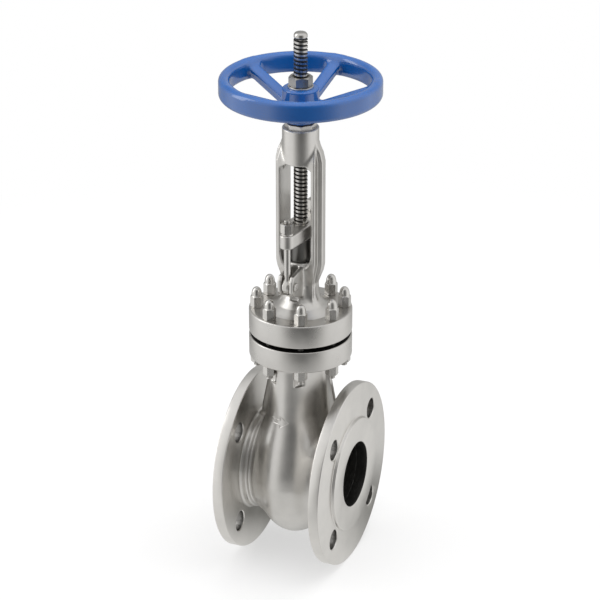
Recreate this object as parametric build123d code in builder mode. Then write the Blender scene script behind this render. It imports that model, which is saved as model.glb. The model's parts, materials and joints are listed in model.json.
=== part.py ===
from build123d import *
import os
from math import pi, radians, sqrt, tan

# Flanged gate valve with a bolted bonnet, an outside yoke and a rising stem.
# Origin: middle of the valve, level with the lowest point of the end flanges.
# X runs along the pipe and +X is the outlet, Z runs up the stem, -Y is the front.
# Sizes are in millimetres. The gate is shut, so the stem is at its lowest.

os.makedirs("parts", exist_ok=True)

# ---- Driving dimensions -------------------------------------------------------

# End flanges, DN50 PN16 drilling
FLANGE_OD = 165.0
FLANGE_T = 12.5
FACE_D = 102.0
FACE_H = 3.0
BOLT_CIRCLE = 125.0
BOLT_HOLE_D = 18.0
BOLTS = 4
FACE_TO_FACE = 105.0
PORT_R = 29.0

# Port necks between flange and belly, measured from the middle of the valve
HUB_R = 45.0
GROOVE_R = 41.0
HUB_X = 33.0
GROOVE_X = 28.5
COLLAR_X = 18.0

# Casting of the body
WALL = 8.0
BELLY = (35.0, 55.0, 62.0)
NECK = (23.0, 38.0)
SEAT_BOSS_R = 37.0
CAVITY_X = 14.5
CAVITY_Y = 31.5
CAVITY_CORNER = 11.0
GUIDE_T = 5.0
GUIDE_Y = 27.5
GUIDE_LOWER = (48.0, 58.0, 110.0)
GUIDE_UPPER = (33.0, 120.0, 196.0)
GUSSET_T = 5.0
GUSSET_X = 36.0
GUSSET_FOOT_Z = (122.0, 136.0)
GUSSET_TOP = (26.0, 187.5)
ROOT_OVERLAP = 1.0

# Bolted joint between body and bonnet
JOINT_R = 45.0
JOINT_EDGE = 1.5
BODY_JOINT_Z = (193.5, 213.0)
BONNET_JOINT_Z = (216.0, 237.0)
GASKET = (27.0, 34.0)
STUDS = 8
STUD_CIRCLE_R = 38.0
STUD_R = 2.9
STUD_HOLE_R = 3.3
NUT_AF = 10.0
SPOT_FACE_R = 6.0
NUT_H = 9.0
STUD_END = 3.5
CAP_HEX_H = 10.75
CAP_DOME_H = 7.5

# Bonnet: boss, dome and stuffing box
BOSS_R = 29.0
BOSS_Z = 240.5
DOME_Z = 248.0
BOX_R = 12.5
BOX_Z = 282.0
BONNET_CAVITY_R = 16.0
BONNET_CAVITY_Z = 232.0
BACK_SEAT_TOP_Z = 246.0
PACKING_R = 9.5
PACKING_Z = 252.0

# Yoke: two T-section arms and a round head
ARM_INNER_X = 14.0
ARM_PLATE_X = 17.5
ARM_RIB_X = 21.5
ARM_HALF_Y = 12.5
ARM_RIB_HALF_Y = 4.5
ARM_FOOT_X = 15.0
ARM_FOOT_HALF_Y = 8.0
ARM_ROOT_X = (8.0, 12.0)
ARM_TOP_HALF_Y = 3.0
ARM_FOOT_Z = 242.0
ARM_KNEE_Z = (262.0, 282.0)
ARM_SHOULDER_Z = (374.0, 391.0)
HEAD_R = 15.75
HEAD_Z = (372.0, 403.0)
HEAD_BORE_R = 13.3
HEAD_SHELF_Z = 381.0

# Stem: trapezoidal thread, left-handed, so that the wheel opens anticlockwise
STEM_R = 6.0
THREAD_ROOT_R = 5.0
THREAD_PITCH = 3.5
THREAD_FLANK = (0.30, 0.42, 0.88)
THREAD_Z = (318.0, 482.5)
STEM_Z = (113.2, 486.0)
STEM_HEAD_R = 9.0
STEM_HEAD_H = 6.0
BACK_SEAT_Z = 172.7
BACK_SEAT_H = 6.0
STEM_FIT = 0.06

# Gate and seats
GATE_R = 29.0
GATE_HALF_T = 10.0
GATE_TAPER = 5.0
GATE_TOP_Z = 127.0
GATE_BOSS = (23.0, 27.0)
GATE_BOSS_Z = 102.5
GATE_FIT = 0.3
SEAT_R = (25.0, 30.0)
SEAT_X = 22.0
SEAT_GAP = 0.08
GATE_LIFT = 56.0

# Gland
GLAND_Z = (304.0, 316.0)
GLAND_EYE_Y = 30.0
GLAND_LOBE_R = 6.5
GLAND_HUB_R = 11.5
EYE_R = 6.0
EYE_T = 6.6
EYEBOLT_R = 2.9
EYEBOLT_END = 3.0
PIN_HEAD = (1.3, 1.8)
GLAND_WASHER_T = 1.5
GLAND_NUT_H = 8.5
EYE_PIN_R = 2.5
EYE_PIN_Z = 268.0
LUG_T = 3.6
LUG_GAP = 7.0
LUG_Y = 35.5
PACKING_RINGS = 5
PACKING_H = 5.0

# Yoke sleeve, bearings and retainer
SLEEVE_R = 9.0
SLEEVE_FLANGE_R = 12.9
SLEEVE_FLANGE_Z = (383.0, 389.0)
SLEEVE_THREAD_R = 7.8
SLEEVE_RECESS = 0.8
WASHER_T = 2.0
RETAINER_Z = 407.0
RETAINER_AF = 25.0

# Handwheel
WHEEL_R = 69.0
RIM_W = 9.5
RIM_Z = (429.5, 447.5)
RIM_CORNER = 3.5
HUB_Z = (408.2, 438.0)
WHEEL_HUB_R = 15.5
SPOKES = 5
SPOKE_W = 11.0
SPOKE_Z = (424.0, 443.5)
SPOKE_DROP = (4.0, 10.0)
SPOKE_START = 11.0
WHEEL_NUT_AF = 18.0
WHEEL_NUT_Z = (439.5, 448.0)
KEY = 3.0
KEY_RISE = 6.0
KEY_FIT = 0.04

# Values that follow from the sizes above
port_z = FLANGE_OD / 2
face_x = FACE_TO_FACE / 2
flange_back_x = face_x - FLANGE_T
port_axis = Axis((0, 0, port_z), (1, 0, 0))
port_plane = Plane((0, 0, port_z), x_dir=(0, 1, 0), z_dir=(1, 0, 0))
taper = tan(radians(GATE_TAPER))
stud_angle = 180 / STUDS
lug_half = LUG_GAP / 2 + LUG_T
rest_plane = Plane.XY.offset


def finish(part, name):
    """Labels a finished piece and writes it as its own STEP file."""
    part.label = name
    export_step(part, f"parts/{name}.step")
    print(name, "volume", round(part.volume), "solids", len(part.solids()))


# ---- Body casting --------------------------------------------------------------

with BuildPart() as belly:
    Sphere(1)
    scale(by=BELLY)

with BuildPart() as belly_hollow:
    Sphere(1)
    scale(by=tuple(side - WALL for side in BELLY))

with BuildPart() as cavity:
    with BuildSketch(port_plane.offset(-CAVITY_X)):
        Circle(CAVITY_Y)
        with Locations((0, BODY_JOINT_Z[1] / 2)):
            Rectangle(2 * CAVITY_Y, BODY_JOINT_Z[1])
    extrude(amount=2 * CAVITY_X)
    side_edges = edges().filter_by(Plane.YZ).filter_by(
        lambda edge: edge.center().Z < BODY_JOINT_Z[1] + port_z - 1
    )
    fillet(side_edges, CAVITY_CORNER)

with BuildPart() as body:
    # Flanges and port necks, one turned profile for each side
    for side in (-1, 1):
        with BuildSketch(Plane.XZ):
            with BuildLine():
                Polyline(
                    (0, port_z),
                    (0, port_z + GROOVE_R - 1),
                    (side * COLLAR_X, port_z + HUB_R - 1),
                    (side * (COLLAR_X + 1), port_z + HUB_R),
                    (side * (GROOVE_X - 1), port_z + HUB_R),
                    (side * GROOVE_X, port_z + HUB_R - 1),
                    (side * (GROOVE_X + 1), port_z + GROOVE_R),
                    (side * (HUB_X - 1), port_z + GROOVE_R),
                    (side * HUB_X, port_z + HUB_R - 1),
                    (side * (HUB_X + 1), port_z + HUB_R),
                    (side * flange_back_x, port_z + HUB_R),
                    (side * flange_back_x, port_z + FLANGE_OD / 2 - 1),
                    (side * (flange_back_x + 1), port_z + FLANGE_OD / 2),
                    (side * (face_x - FACE_H - 1), port_z + FLANGE_OD / 2),
                    (side * (face_x - FACE_H), port_z + FLANGE_OD / 2 - 1),
                    (side * (face_x - FACE_H), port_z + FACE_D / 2),
                    (side * face_x, port_z + FACE_D / 2),
                    (side * face_x, port_z),
                    close=True,
                )
            make_face()
        revolve(axis=port_axis)
    with Locations((0, 0, port_z)):
        add(belly.part)
    # Oval neck and the round joint flange on top of it
    with BuildSketch(rest_plane(port_z)):
        Ellipse(*NECK)
    extrude(amount=BODY_JOINT_Z[0] - port_z + ROOT_OVERLAP)
    with BuildSketch(rest_plane(BODY_JOINT_Z[0])):
        Circle(JOINT_R)
    extrude(amount=BODY_JOINT_Z[1] - BODY_JOINT_Z[0])
    chamfer(edges().filter_by(GeomType.CIRCLE).group_by(Axis.Z)[-1], JOINT_EDGE / 2)
    # Gussets under the joint flange, along the pipe
    with BuildSketch(Plane.XZ.offset(-GUSSET_T / 2)):
        with BuildLine():
            Polyline(
                (GUSSET_TOP[0], BODY_JOINT_Z[0] + ROOT_OVERLAP),
                GUSSET_TOP,
                (GUSSET_X, GUSSET_FOOT_Z[1]),
                (GUSSET_X, GUSSET_FOOT_Z[0]),
                (-GUSSET_X, GUSSET_FOOT_Z[0]),
                (-GUSSET_X, GUSSET_FOOT_Z[1]),
                (-GUSSET_TOP[0], GUSSET_TOP[1]),
                (-GUSSET_TOP[0], BODY_JOINT_Z[0] + ROOT_OVERLAP),
                close=True,
            )
        make_face()
    extrude(amount=GUSSET_T)
    # Hollow belly, then the bosses that hold the seats, then the gate's way
    with Locations((0, 0, port_z)):
        add(belly_hollow.part, mode=Mode.SUBTRACT)
    for side in (-1, 1):
        with BuildSketch(port_plane.offset(side * CAVITY_X)):
            Circle(SEAT_BOSS_R)
        extrude(amount=side * (HUB_X - CAVITY_X))
    add(cavity.part, mode=Mode.SUBTRACT)
    # Guides that keep the gate square, on the front and back walls
    for side in (-1, 1):
        with BuildSketch(Plane.YZ.offset(-GUIDE_T / 2)):
            with BuildLine():
                Polyline(
                    (side * GUIDE_Y, GUIDE_LOWER[1]),
                    (side * GUIDE_LOWER[0], GUIDE_LOWER[1]),
                    (side * GUIDE_LOWER[0], GUIDE_LOWER[2]),
                    (side * GUIDE_UPPER[0], GUIDE_UPPER[1]),
                    (side * GUIDE_UPPER[0], GUIDE_UPPER[2]),
                    (side * GUIDE_Y, GUIDE_UPPER[2]),
                    close=True,
                )
            make_face()
        extrude(amount=GUIDE_T)
    # Bore, narrowing to the seats, and the counterbores for the seat rings
    for side in (-1, 1):
        with BuildSketch(Plane.XZ):
            with BuildLine():
                Polyline(
                    (0, port_z),
                    (0, port_z + SEAT_R[1]),
                    (side * SEAT_X, port_z + SEAT_R[1]),
                    (side * SEAT_X, port_z + SEAT_R[0]),
                    (side * HUB_X, port_z + PORT_R),
                    (side * (face_x + 1), port_z + PORT_R),
                    (side * (face_x + 1), port_z),
                    close=True,
                )
            make_face()
        revolve(axis=port_axis, mode=Mode.SUBTRACT)
    # Flange bolt holes straddle the centre lines
    with BuildSketch(port_plane.offset(-face_x - 1)):
        with PolarLocations(BOLT_CIRCLE / 2, BOLTS, start_angle=45):
            Circle(BOLT_HOLE_D / 2)
    extrude(amount=2 * face_x + 2, mode=Mode.SUBTRACT)
    # Stud holes of the bonnet joint, with a spot face under each for its nut
    for radius, low, high in (
        (STUD_HOLE_R, BODY_JOINT_Z[0] - 1, BODY_JOINT_Z[1] + 1),
        (SPOT_FACE_R, BODY_JOINT_Z[0] - NUT_H - STUD_END - 1, BODY_JOINT_Z[0]),
    ):
        with BuildSketch(rest_plane(low)):
            with PolarLocations(STUD_CIRCLE_R, STUDS, start_angle=stud_angle):
                Circle(radius)
        extrude(amount=high - low, mode=Mode.SUBTRACT)
finish(body.part, "body")

# ---- Seats, gate and stem -------------------------------------------------------

with BuildPart() as gate_blank:
    # The two sealing faces lean together towards the bottom
    with BuildSketch(Plane.XZ.offset(-SEAT_R[1])):
        with BuildLine():
            Polyline(
                (-GATE_HALF_T + port_z * taper, 0),
                (GATE_HALF_T - port_z * taper, 0),
                (GATE_HALF_T + port_z * taper, 2 * port_z),
                (-GATE_HALF_T - port_z * taper, 2 * port_z),
                close=True,
            )
        make_face()
    extrude(amount=2 * SEAT_R[1])

with BuildPart() as wedge:
    with BuildSketch(port_plane.offset(-SEAT_X)):
        Circle(GATE_R)
    extrude(amount=2 * SEAT_X)
    add(gate_blank.part, mode=Mode.INTERSECT)
    # Boss for the stem head
    with BuildSketch(rest_plane(GATE_BOSS_Z)):
        RectangleRounded(*GATE_BOSS, 4)
    extrude(amount=GATE_TOP_Z - GATE_BOSS_Z)
    # Guide slots, and the T-slot that the stem head slides into from the side
    with BuildSketch(rest_plane(port_z - GATE_R - 1)):
        with Locations((0, -GUIDE_Y - GATE_R + GATE_FIT), (0, GUIDE_Y + GATE_R - GATE_FIT)):
            Rectangle(GUIDE_T + 2 * GATE_FIT, 2 * GATE_R)
    extrude(amount=2 * GATE_R + 2, mode=Mode.SUBTRACT)
    with BuildSketch(Plane.YZ.offset(-STEM_HEAD_R - GATE_FIT)):
        with Locations((0, (STEM_Z[0] + STEM_HEAD_H / 2))):
            Rectangle(2 * (STEM_HEAD_R + GATE_FIT), STEM_HEAD_H + 0.4)
        with Locations((0, GATE_TOP_Z)):
            Rectangle(2 * (STEM_R + GATE_FIT), 2 * (GATE_TOP_Z - STEM_Z[0]) - STEM_HEAD_H)
    extrude(amount=GATE_BOSS[0] + STEM_HEAD_R, mode=Mode.SUBTRACT)
finish(wedge.part, "wedge")

for side, name in ((-1, "seat_ring_inlet"), (1, "seat_ring_outlet")):
    with BuildPart() as seat:
        with BuildSketch(port_plane.offset(side * SEAT_X)):
            Circle(SEAT_R[1] - 0.02)
            Circle(SEAT_R[0], mode=Mode.SUBTRACT)
        extrude(amount=-side * SEAT_X)
        # The sealing face leans with the gate, a hair clear of it
        with BuildSketch(Plane.XZ.offset(-FACE_D / 2)):
            with BuildLine():
                Polyline(
                    (-side * HUB_X, 0),
                    (side * (GATE_HALF_T + SEAT_GAP - port_z * taper), 0),
                    (side * (GATE_HALF_T + SEAT_GAP + port_z * taper), 2 * port_z),
                    (-side * HUB_X, 2 * port_z),
                    close=True,
                )
            make_face()
        extrude(amount=FACE_D, mode=Mode.SUBTRACT)
    finish(seat.part, name)

thread_turns = int((THREAD_Z[1] - THREAD_Z[0]) / THREAD_PITCH)
thread_points = []
for turn in range(thread_turns):
    foot = THREAD_Z[0] + turn * THREAD_PITCH
    thread_points.append((THREAD_ROOT_R, foot + THREAD_FLANK[0] * THREAD_PITCH))
    thread_points.append((STEM_R, foot + THREAD_FLANK[1] * THREAD_PITCH))
    thread_points.append((STEM_R, foot + THREAD_FLANK[2] * THREAD_PITCH))
    thread_points.append((THREAD_ROOT_R, foot + THREAD_PITCH))

with BuildPart() as stem:
    with BuildSketch(Plane.XZ):
        with BuildLine():
            Polyline(
                (0, STEM_Z[0]),
                (STEM_HEAD_R, STEM_Z[0]),
                (STEM_HEAD_R, STEM_Z[0] + STEM_HEAD_H),
                (STEM_R, STEM_Z[0] + STEM_HEAD_H),
                (STEM_R, BACK_SEAT_Z - BACK_SEAT_H - 2),
                (STEM_HEAD_R, BACK_SEAT_Z - BACK_SEAT_H),
                (STEM_HEAD_R, BACK_SEAT_Z),
                (STEM_R, BACK_SEAT_Z + BACK_SEAT_H / 2),
                (STEM_R, THREAD_Z[0]),
                *thread_points,
                (THREAD_ROOT_R, STEM_Z[1] - 1),
                (THREAD_ROOT_R - 1, STEM_Z[1]),
                (0, STEM_Z[1]),
                close=True,
            )
        make_face()
    revolve(axis=Axis.Z)
finish(stem.part, "stem")

# ---- Bonnet joint ----------------------------------------------------------------

with BuildPart() as bonnet_gasket:
    with BuildSketch(rest_plane(BODY_JOINT_Z[1])):
        Ellipse(*GASKET)
        RectangleRounded(2 * CAVITY_X, 2 * CAVITY_Y - 2, CAVITY_CORNER, mode=Mode.SUBTRACT)
    extrude(amount=BONNET_JOINT_Z[0] - BODY_JOINT_Z[1])
finish(bonnet_gasket.part, "bonnet_gasket")

stud_bottom_z = BODY_JOINT_Z[0] - NUT_H - STUD_END
stud_top_z = BONNET_JOINT_Z[1] + CAP_HEX_H + 2
with BuildPart() as bonnet_studs:
    with BuildSketch(rest_plane(stud_bottom_z)):
        with PolarLocations(STUD_CIRCLE_R, STUDS, start_angle=stud_angle):
            Circle(STUD_R)
    extrude(amount=stud_top_z - stud_bottom_z)
finish(bonnet_studs.part, "bonnet_studs")

with BuildPart() as bonnet_lower_nuts:
    with BuildSketch(rest_plane(BODY_JOINT_Z[0] - NUT_H)):
        with PolarLocations(STUD_CIRCLE_R, STUDS, start_angle=stud_angle):
            RegularPolygon(NUT_AF / 2, 6, major_radius=False)
            Circle(STUD_R + 0.05, mode=Mode.SUBTRACT)
    extrude(amount=NUT_H)
finish(bonnet_lower_nuts.part, "bonnet_lower_nuts")

cap_corner_r = NUT_AF / sqrt(3)
dome_r = NUT_AF / 2 - 0.3
with BuildPart() as cap_dome:
    # Dome of one cap nut, a turned bullet that also trims the corners of the hexagon
    with BuildSketch(Plane.XZ):
        with BuildLine():
            wall = Line((cap_corner_r, 0), (cap_corner_r, CAP_HEX_H - 1))
            trim = Line(wall @ 1, (dome_r, CAP_HEX_H))
            nose = Spline(trim @ 1, (dome_r - 1, CAP_HEX_H + 4), (0, CAP_HEX_H + CAP_DOME_H),
                          tangents=((0, 1), (-1, 0)))
            Polyline(nose @ 1, (0, 0), wall @ 0)
        make_face()
    revolve(axis=Axis.Z)

with BuildPart() as cap_nut:
    with BuildSketch():
        RegularPolygon(NUT_AF / 2, 6, major_radius=False)
    extrude(amount=CAP_HEX_H + CAP_DOME_H)
    add(cap_dome.part, mode=Mode.INTERSECT)
    with BuildSketch():
        Circle(STUD_R + 0.05)
    extrude(amount=CAP_HEX_H + 2.5, mode=Mode.SUBTRACT)

with BuildPart() as bonnet_cap_nuts:
    with Locations((0, 0, BONNET_JOINT_Z[1])):
        with PolarLocations(STUD_CIRCLE_R, STUDS, start_angle=stud_angle):
            add(cap_nut.part)
finish(bonnet_cap_nuts.part, "bonnet_cap_nuts")

# ---- Bonnet with its yoke, one casting ---------------------------------------------

with BuildPart() as arm_plate:
    with BuildSketch(Plane.XZ.offset(-ARM_HALF_Y)):
        with BuildLine():
            Polyline(
                (ARM_ROOT_X[0], ARM_SHOULDER_Z[1]),
                (HEAD_R - 0.5, ARM_SHOULDER_Z[1]),
                (ARM_PLATE_X, ARM_SHOULDER_Z[0]),
                (ARM_PLATE_X, ARM_KNEE_Z[1]),
                (ARM_INNER_X, ARM_KNEE_Z[0]),
                (ARM_INNER_X, ARM_FOOT_Z),
                (ARM_ROOT_X[0], ARM_FOOT_Z),
                (ARM_ROOT_X[0], BOX_Z - 6),
                (ARM_ROOT_X[1], BOX_Z - 1),
                (ARM_INNER_X, BOX_Z + 8),
                (ARM_INNER_X, HEAD_Z[0] - 4),
                (ARM_ROOT_X[0], HEAD_Z[0]),
                close=True,
            )
        make_face()
    extrude(amount=2 * ARM_HALF_Y)
    # The plate narrows into the head and into the foot
    with BuildSketch(Plane.YZ):
        with BuildLine():
            Polyline(
                (-ARM_TOP_HALF_Y, ARM_SHOULDER_Z[1]),
                (-ARM_HALF_Y, ARM_SHOULDER_Z[0]),
                (-ARM_HALF_Y, ARM_KNEE_Z[1]),
                (-ARM_FOOT_HALF_Y, ARM_KNEE_Z[0]),
                (-ARM_FOOT_HALF_Y, ARM_FOOT_Z),
                (ARM_FOOT_HALF_Y, ARM_FOOT_Z),
                (ARM_FOOT_HALF_Y, ARM_KNEE_Z[0]),
                (ARM_HALF_Y, ARM_KNEE_Z[1]),
                (ARM_HALF_Y, ARM_SHOULDER_Z[0]),
                (ARM_TOP_HALF_Y, ARM_SHOULDER_Z[1]),
                close=True,
            )
        make_face()
    extrude(amount=ARM_RIB_X, mode=Mode.INTERSECT)

with BuildPart() as arm_rib:
    with BuildSketch(Plane.XZ.offset(-ARM_RIB_HALF_Y)):
        with BuildLine():
            Polyline(
                (ARM_ROOT_X[1], ARM_SHOULDER_Z[1]),
                (HEAD_R, ARM_SHOULDER_Z[1]),
                (ARM_RIB_X - 1.8, ARM_SHOULDER_Z[0] + 8),
                (ARM_RIB_X, ARM_SHOULDER_Z[0]),
                (ARM_RIB_X, ARM_KNEE_Z[1] - 2),
                (ARM_RIB_X - 1.2, ARM_KNEE_Z[1] - 8),
                (ARM_FOOT_X + 0.6, ARM_KNEE_Z[0]),
                (ARM_FOOT_X, ARM_KNEE_Z[0] - 6),
                (ARM_FOOT_X, ARM_FOOT_Z),
                (ARM_ROOT_X[1], ARM_FOOT_Z),
                (ARM_ROOT_X[1], ARM_KNEE_Z[0]),
                (ARM_INNER_X + 1, ARM_KNEE_Z[1]),
                (ARM_INNER_X + 1, ARM_SHOULDER_Z[0]),
                close=True,
            )
        make_face()
    extrude(amount=2 * ARM_RIB_HALF_Y)

with BuildPart() as gland_lugs:
    # Two pairs of ears, front and back, that carry the eyebolt pins
    for side in (-1, 1):
        with BuildSketch(Plane.YZ.offset(-LUG_GAP / 2 - LUG_T)):
            with BuildLine():
                Polyline(
                    (side * (BOX_R - 5), BOX_Z - 2),
                    (side * (LUG_Y - 3), BOX_Z - 4),
                    (side * LUG_Y, BOX_Z - 8),
                    (side * LUG_Y, EYE_PIN_Z - 4),
                    (side * (LUG_Y - 3), EYE_PIN_Z - 8),
                    (side * (BOX_R - 2), EYE_PIN_Z - 17),
                    (side * (BOX_R - 5), EYE_PIN_Z - 17),
                    close=True,
                )
            make_face()
        extrude(amount=LUG_GAP + 2 * LUG_T)

with BuildPart() as bonnet_yoke:
    with BuildSketch(Plane.XZ):
        with BuildLine():
            flange_line = Polyline(
                (0, BONNET_JOINT_Z[0]),
                (JOINT_R - JOINT_EDGE / 2, BONNET_JOINT_Z[0]),
                (JOINT_R, BONNET_JOINT_Z[0] + JOINT_EDGE / 2),
                (JOINT_R, BONNET_JOINT_Z[1] - JOINT_EDGE),
                (JOINT_R - JOINT_EDGE, BONNET_JOINT_Z[1]),
                (BOSS_R + 0.5, BONNET_JOINT_Z[1]),
                (BOSS_R, BOSS_Z - 1),
                (BOSS_R - 1, BOSS_Z),
            )
            dome = Spline(flange_line @ 1, (BOX_R + 8, DOME_Z - 3), (BOX_R + 3, DOME_Z + 0.5))
            Polyline(
                dome @ 1,
                (BOX_R + 2, DOME_Z + 2),
                (BOX_R, DOME_Z + 3),
                (BOX_R, BOX_Z - 1),
                (BOX_R - 1, BOX_Z),
                (0, BOX_Z),
                (0, BONNET_JOINT_Z[0]),
            )
        make_face()
    revolve(axis=Axis.Z)
    with BuildSketch(rest_plane(HEAD_Z[0])):
        Circle(HEAD_R)
    extrude(amount=HEAD_Z[1] - HEAD_Z[0])
    for half_turn in (0, 180):
        add(arm_plate.part, rotation=(0, 0, half_turn))
        add(arm_rib.part, rotation=(0, 0, half_turn))
    add(gland_lugs.part)
    # Slots for the eyebolts and cross holes for their pins
    with BuildSketch(Plane.YZ.offset(-LUG_GAP / 2)):
        with Locations((-LUG_Y, EYE_PIN_Z), (LUG_Y, EYE_PIN_Z)):
            Rectangle(2 * (LUG_Y - BOX_R), 2 * (BOX_Z - ARM_FOOT_Z))
    extrude(amount=LUG_GAP, mode=Mode.SUBTRACT)
    with BuildSketch(Plane.YZ.offset(-lug_half - 1)):
        with Locations((-GLAND_EYE_Y, EYE_PIN_Z), (GLAND_EYE_Y, EYE_PIN_Z)):
            Circle(EYE_PIN_R + 0.05)
    extrude(amount=2 * lug_half + 2, mode=Mode.SUBTRACT)
    # Bores from bottom to top: cavity, back seat, stem way, packing chamber, yoke head
    for radius, low, high in (
        (BONNET_CAVITY_R, BONNET_JOINT_Z[0], BONNET_CAVITY_Z),
        (PACKING_R, BONNET_CAVITY_Z, BACK_SEAT_TOP_Z),
        (STEM_R + 0.4, BACK_SEAT_TOP_Z, PACKING_Z),
        (PACKING_R, PACKING_Z, BOX_Z + 1),
        (SLEEVE_R + 0.3, HEAD_Z[0] - 1, HEAD_SHELF_Z),
        (HEAD_BORE_R, HEAD_SHELF_Z, HEAD_Z[1]),
    ):
        with BuildSketch(rest_plane(low)):
            Circle(radius)
        extrude(amount=high - low, mode=Mode.SUBTRACT)
    with BuildSketch(rest_plane(BONNET_JOINT_Z[0] - 1)):
        with PolarLocations(STUD_CIRCLE_R, STUDS, start_angle=stud_angle):
            Circle(STUD_HOLE_R)
    extrude(amount=BONNET_JOINT_Z[1] - BONNET_JOINT_Z[0] + 2, mode=Mode.SUBTRACT)
finish(bonnet_yoke.part, "bonnet_yoke")

# ---- Stem seals and gland ------------------------------------------------------------

with BuildPart() as back_seat_bush:
    with BuildSketch(Plane.XZ):
        with BuildLine():
            Polyline(
                (STEM_R + STEM_FIT, BONNET_CAVITY_Z),
                (STEM_HEAD_R + STEM_FIT, BONNET_CAVITY_Z - 3),
                (BONNET_CAVITY_R - 3, BONNET_CAVITY_Z - 3),
                (BONNET_CAVITY_R - 3, BONNET_CAVITY_Z),
                (PACKING_R, BONNET_CAVITY_Z),
                (PACKING_R, BACK_SEAT_TOP_Z),
                (STEM_R + STEM_FIT, BACK_SEAT_TOP_Z),
                close=True,
            )
        make_face()
    revolve(axis=Axis.Z)
finish(back_seat_bush.part, "back_seat_bush")

with BuildPart() as packing_rings:
    for ring in range(PACKING_RINGS):
        with BuildSketch(rest_plane(PACKING_Z + ring * PACKING_H)):
            Circle(PACKING_R - 0.02)
            Circle(STEM_R + STEM_FIT, mode=Mode.SUBTRACT)
        extrude(amount=PACKING_H - 0.05)
finish(packing_rings.part, "packing_rings")

gland_foot_z = PACKING_Z + PACKING_RINGS * PACKING_H
with BuildPart() as gland_bush:
    with BuildSketch(Plane.XZ):
        with BuildLine():
            Polyline(
                (STEM_R + STEM_FIT, gland_foot_z),
                (PACKING_R - 0.05, gland_foot_z),
                (PACKING_R - 0.05, GLAND_Z[0] - 3),
                (PACKING_R + 1.2, GLAND_Z[0] - 2),
                (PACKING_R + 1.2, GLAND_Z[0]),
                (STEM_R + STEM_FIT, GLAND_Z[0]),
                close=True,
            )
        make_face()
    revolve(axis=Axis.Z)
finish(gland_bush.part, "gland_bush")

with BuildPart() as gland_flange:
    with BuildSketch(rest_plane(GLAND_Z[0])):
        with Locations((0, -GLAND_EYE_Y), (0, GLAND_EYE_Y)):
            Circle(GLAND_LOBE_R)
        Circle(GLAND_HUB_R)
        make_hull()
        with Locations((0, -GLAND_EYE_Y), (0, GLAND_EYE_Y)):
            Circle(EYEBOLT_R + 0.35, mode=Mode.SUBTRACT)
        Circle(STEM_R + 0.5, mode=Mode.SUBTRACT)
    extrude(amount=GLAND_Z[1] - GLAND_Z[0])
    chamfer(faces().sort_by(Axis.Z)[-1].outer_wire().edges(), 0.8)
finish(gland_flange.part, "gland_flange")

nut_z = GLAND_Z[1] + GLAND_WASHER_T
eyebolt_top_z = nut_z + GLAND_NUT_H + EYEBOLT_END
for side, name in ((-1, "gland_eyebolt_front"), (1, "gland_eyebolt_rear")):
    with BuildPart() as eyebolt:
        with BuildSketch(Plane.YZ.offset(-EYE_T / 2)):
            with Locations((side * GLAND_EYE_Y, EYE_PIN_Z)):
                Circle(EYE_R)
        extrude(amount=EYE_T)
        with BuildSketch(rest_plane(EYE_PIN_Z + 3)):
            with Locations((0, side * GLAND_EYE_Y)):
                Circle(EYEBOLT_R)
        extrude(amount=eyebolt_top_z - EYE_PIN_Z - 3)
        chamfer(edges().group_by(Axis.Z)[-1], 0.6)
        with BuildSketch(Plane.YZ.offset(-EYE_T)):
            with Locations((side * GLAND_EYE_Y, EYE_PIN_Z)):
                Circle(EYE_PIN_R + 0.05)
        extrude(amount=2 * EYE_T, mode=Mode.SUBTRACT)
    finish(eyebolt.part, name)

with BuildPart() as gland_pins:
    with BuildSketch(Plane.YZ.offset(-lug_half - 0.8)):
        with Locations((-GLAND_EYE_Y, EYE_PIN_Z), (GLAND_EYE_Y, EYE_PIN_Z)):
            Circle(EYE_PIN_R)
    extrude(amount=2 * lug_half + 0.8)
    with BuildSketch(Plane.YZ.offset(lug_half)):
        with Locations((-GLAND_EYE_Y, EYE_PIN_Z), (GLAND_EYE_Y, EYE_PIN_Z)):
            Circle(EYE_PIN_R + PIN_HEAD[0])
    extrude(amount=PIN_HEAD[1])
finish(gland_pins.part, "gland_pins")

with BuildPart() as gland_washers:
    with BuildSketch(rest_plane(GLAND_Z[1])):
        with Locations((0, -GLAND_EYE_Y), (0, GLAND_EYE_Y)):
            Circle(GLAND_LOBE_R - 1)
            Circle(EYEBOLT_R + 0.2, mode=Mode.SUBTRACT)
    extrude(amount=GLAND_WASHER_T)
finish(gland_washers.part, "gland_washers")

with BuildPart() as gland_nuts:
    with BuildSketch(rest_plane(nut_z)):
        with Locations((0, -GLAND_EYE_Y), (0, GLAND_EYE_Y)):
            RegularPolygon(NUT_AF / 2, 6, major_radius=False)
            Circle(EYEBOLT_R + 0.05, mode=Mode.SUBTRACT)
    extrude(amount=GLAND_NUT_H)
finish(gland_nuts.part, "gland_nuts")

# ---- Yoke sleeve and its bearings ------------------------------------------------------

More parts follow.
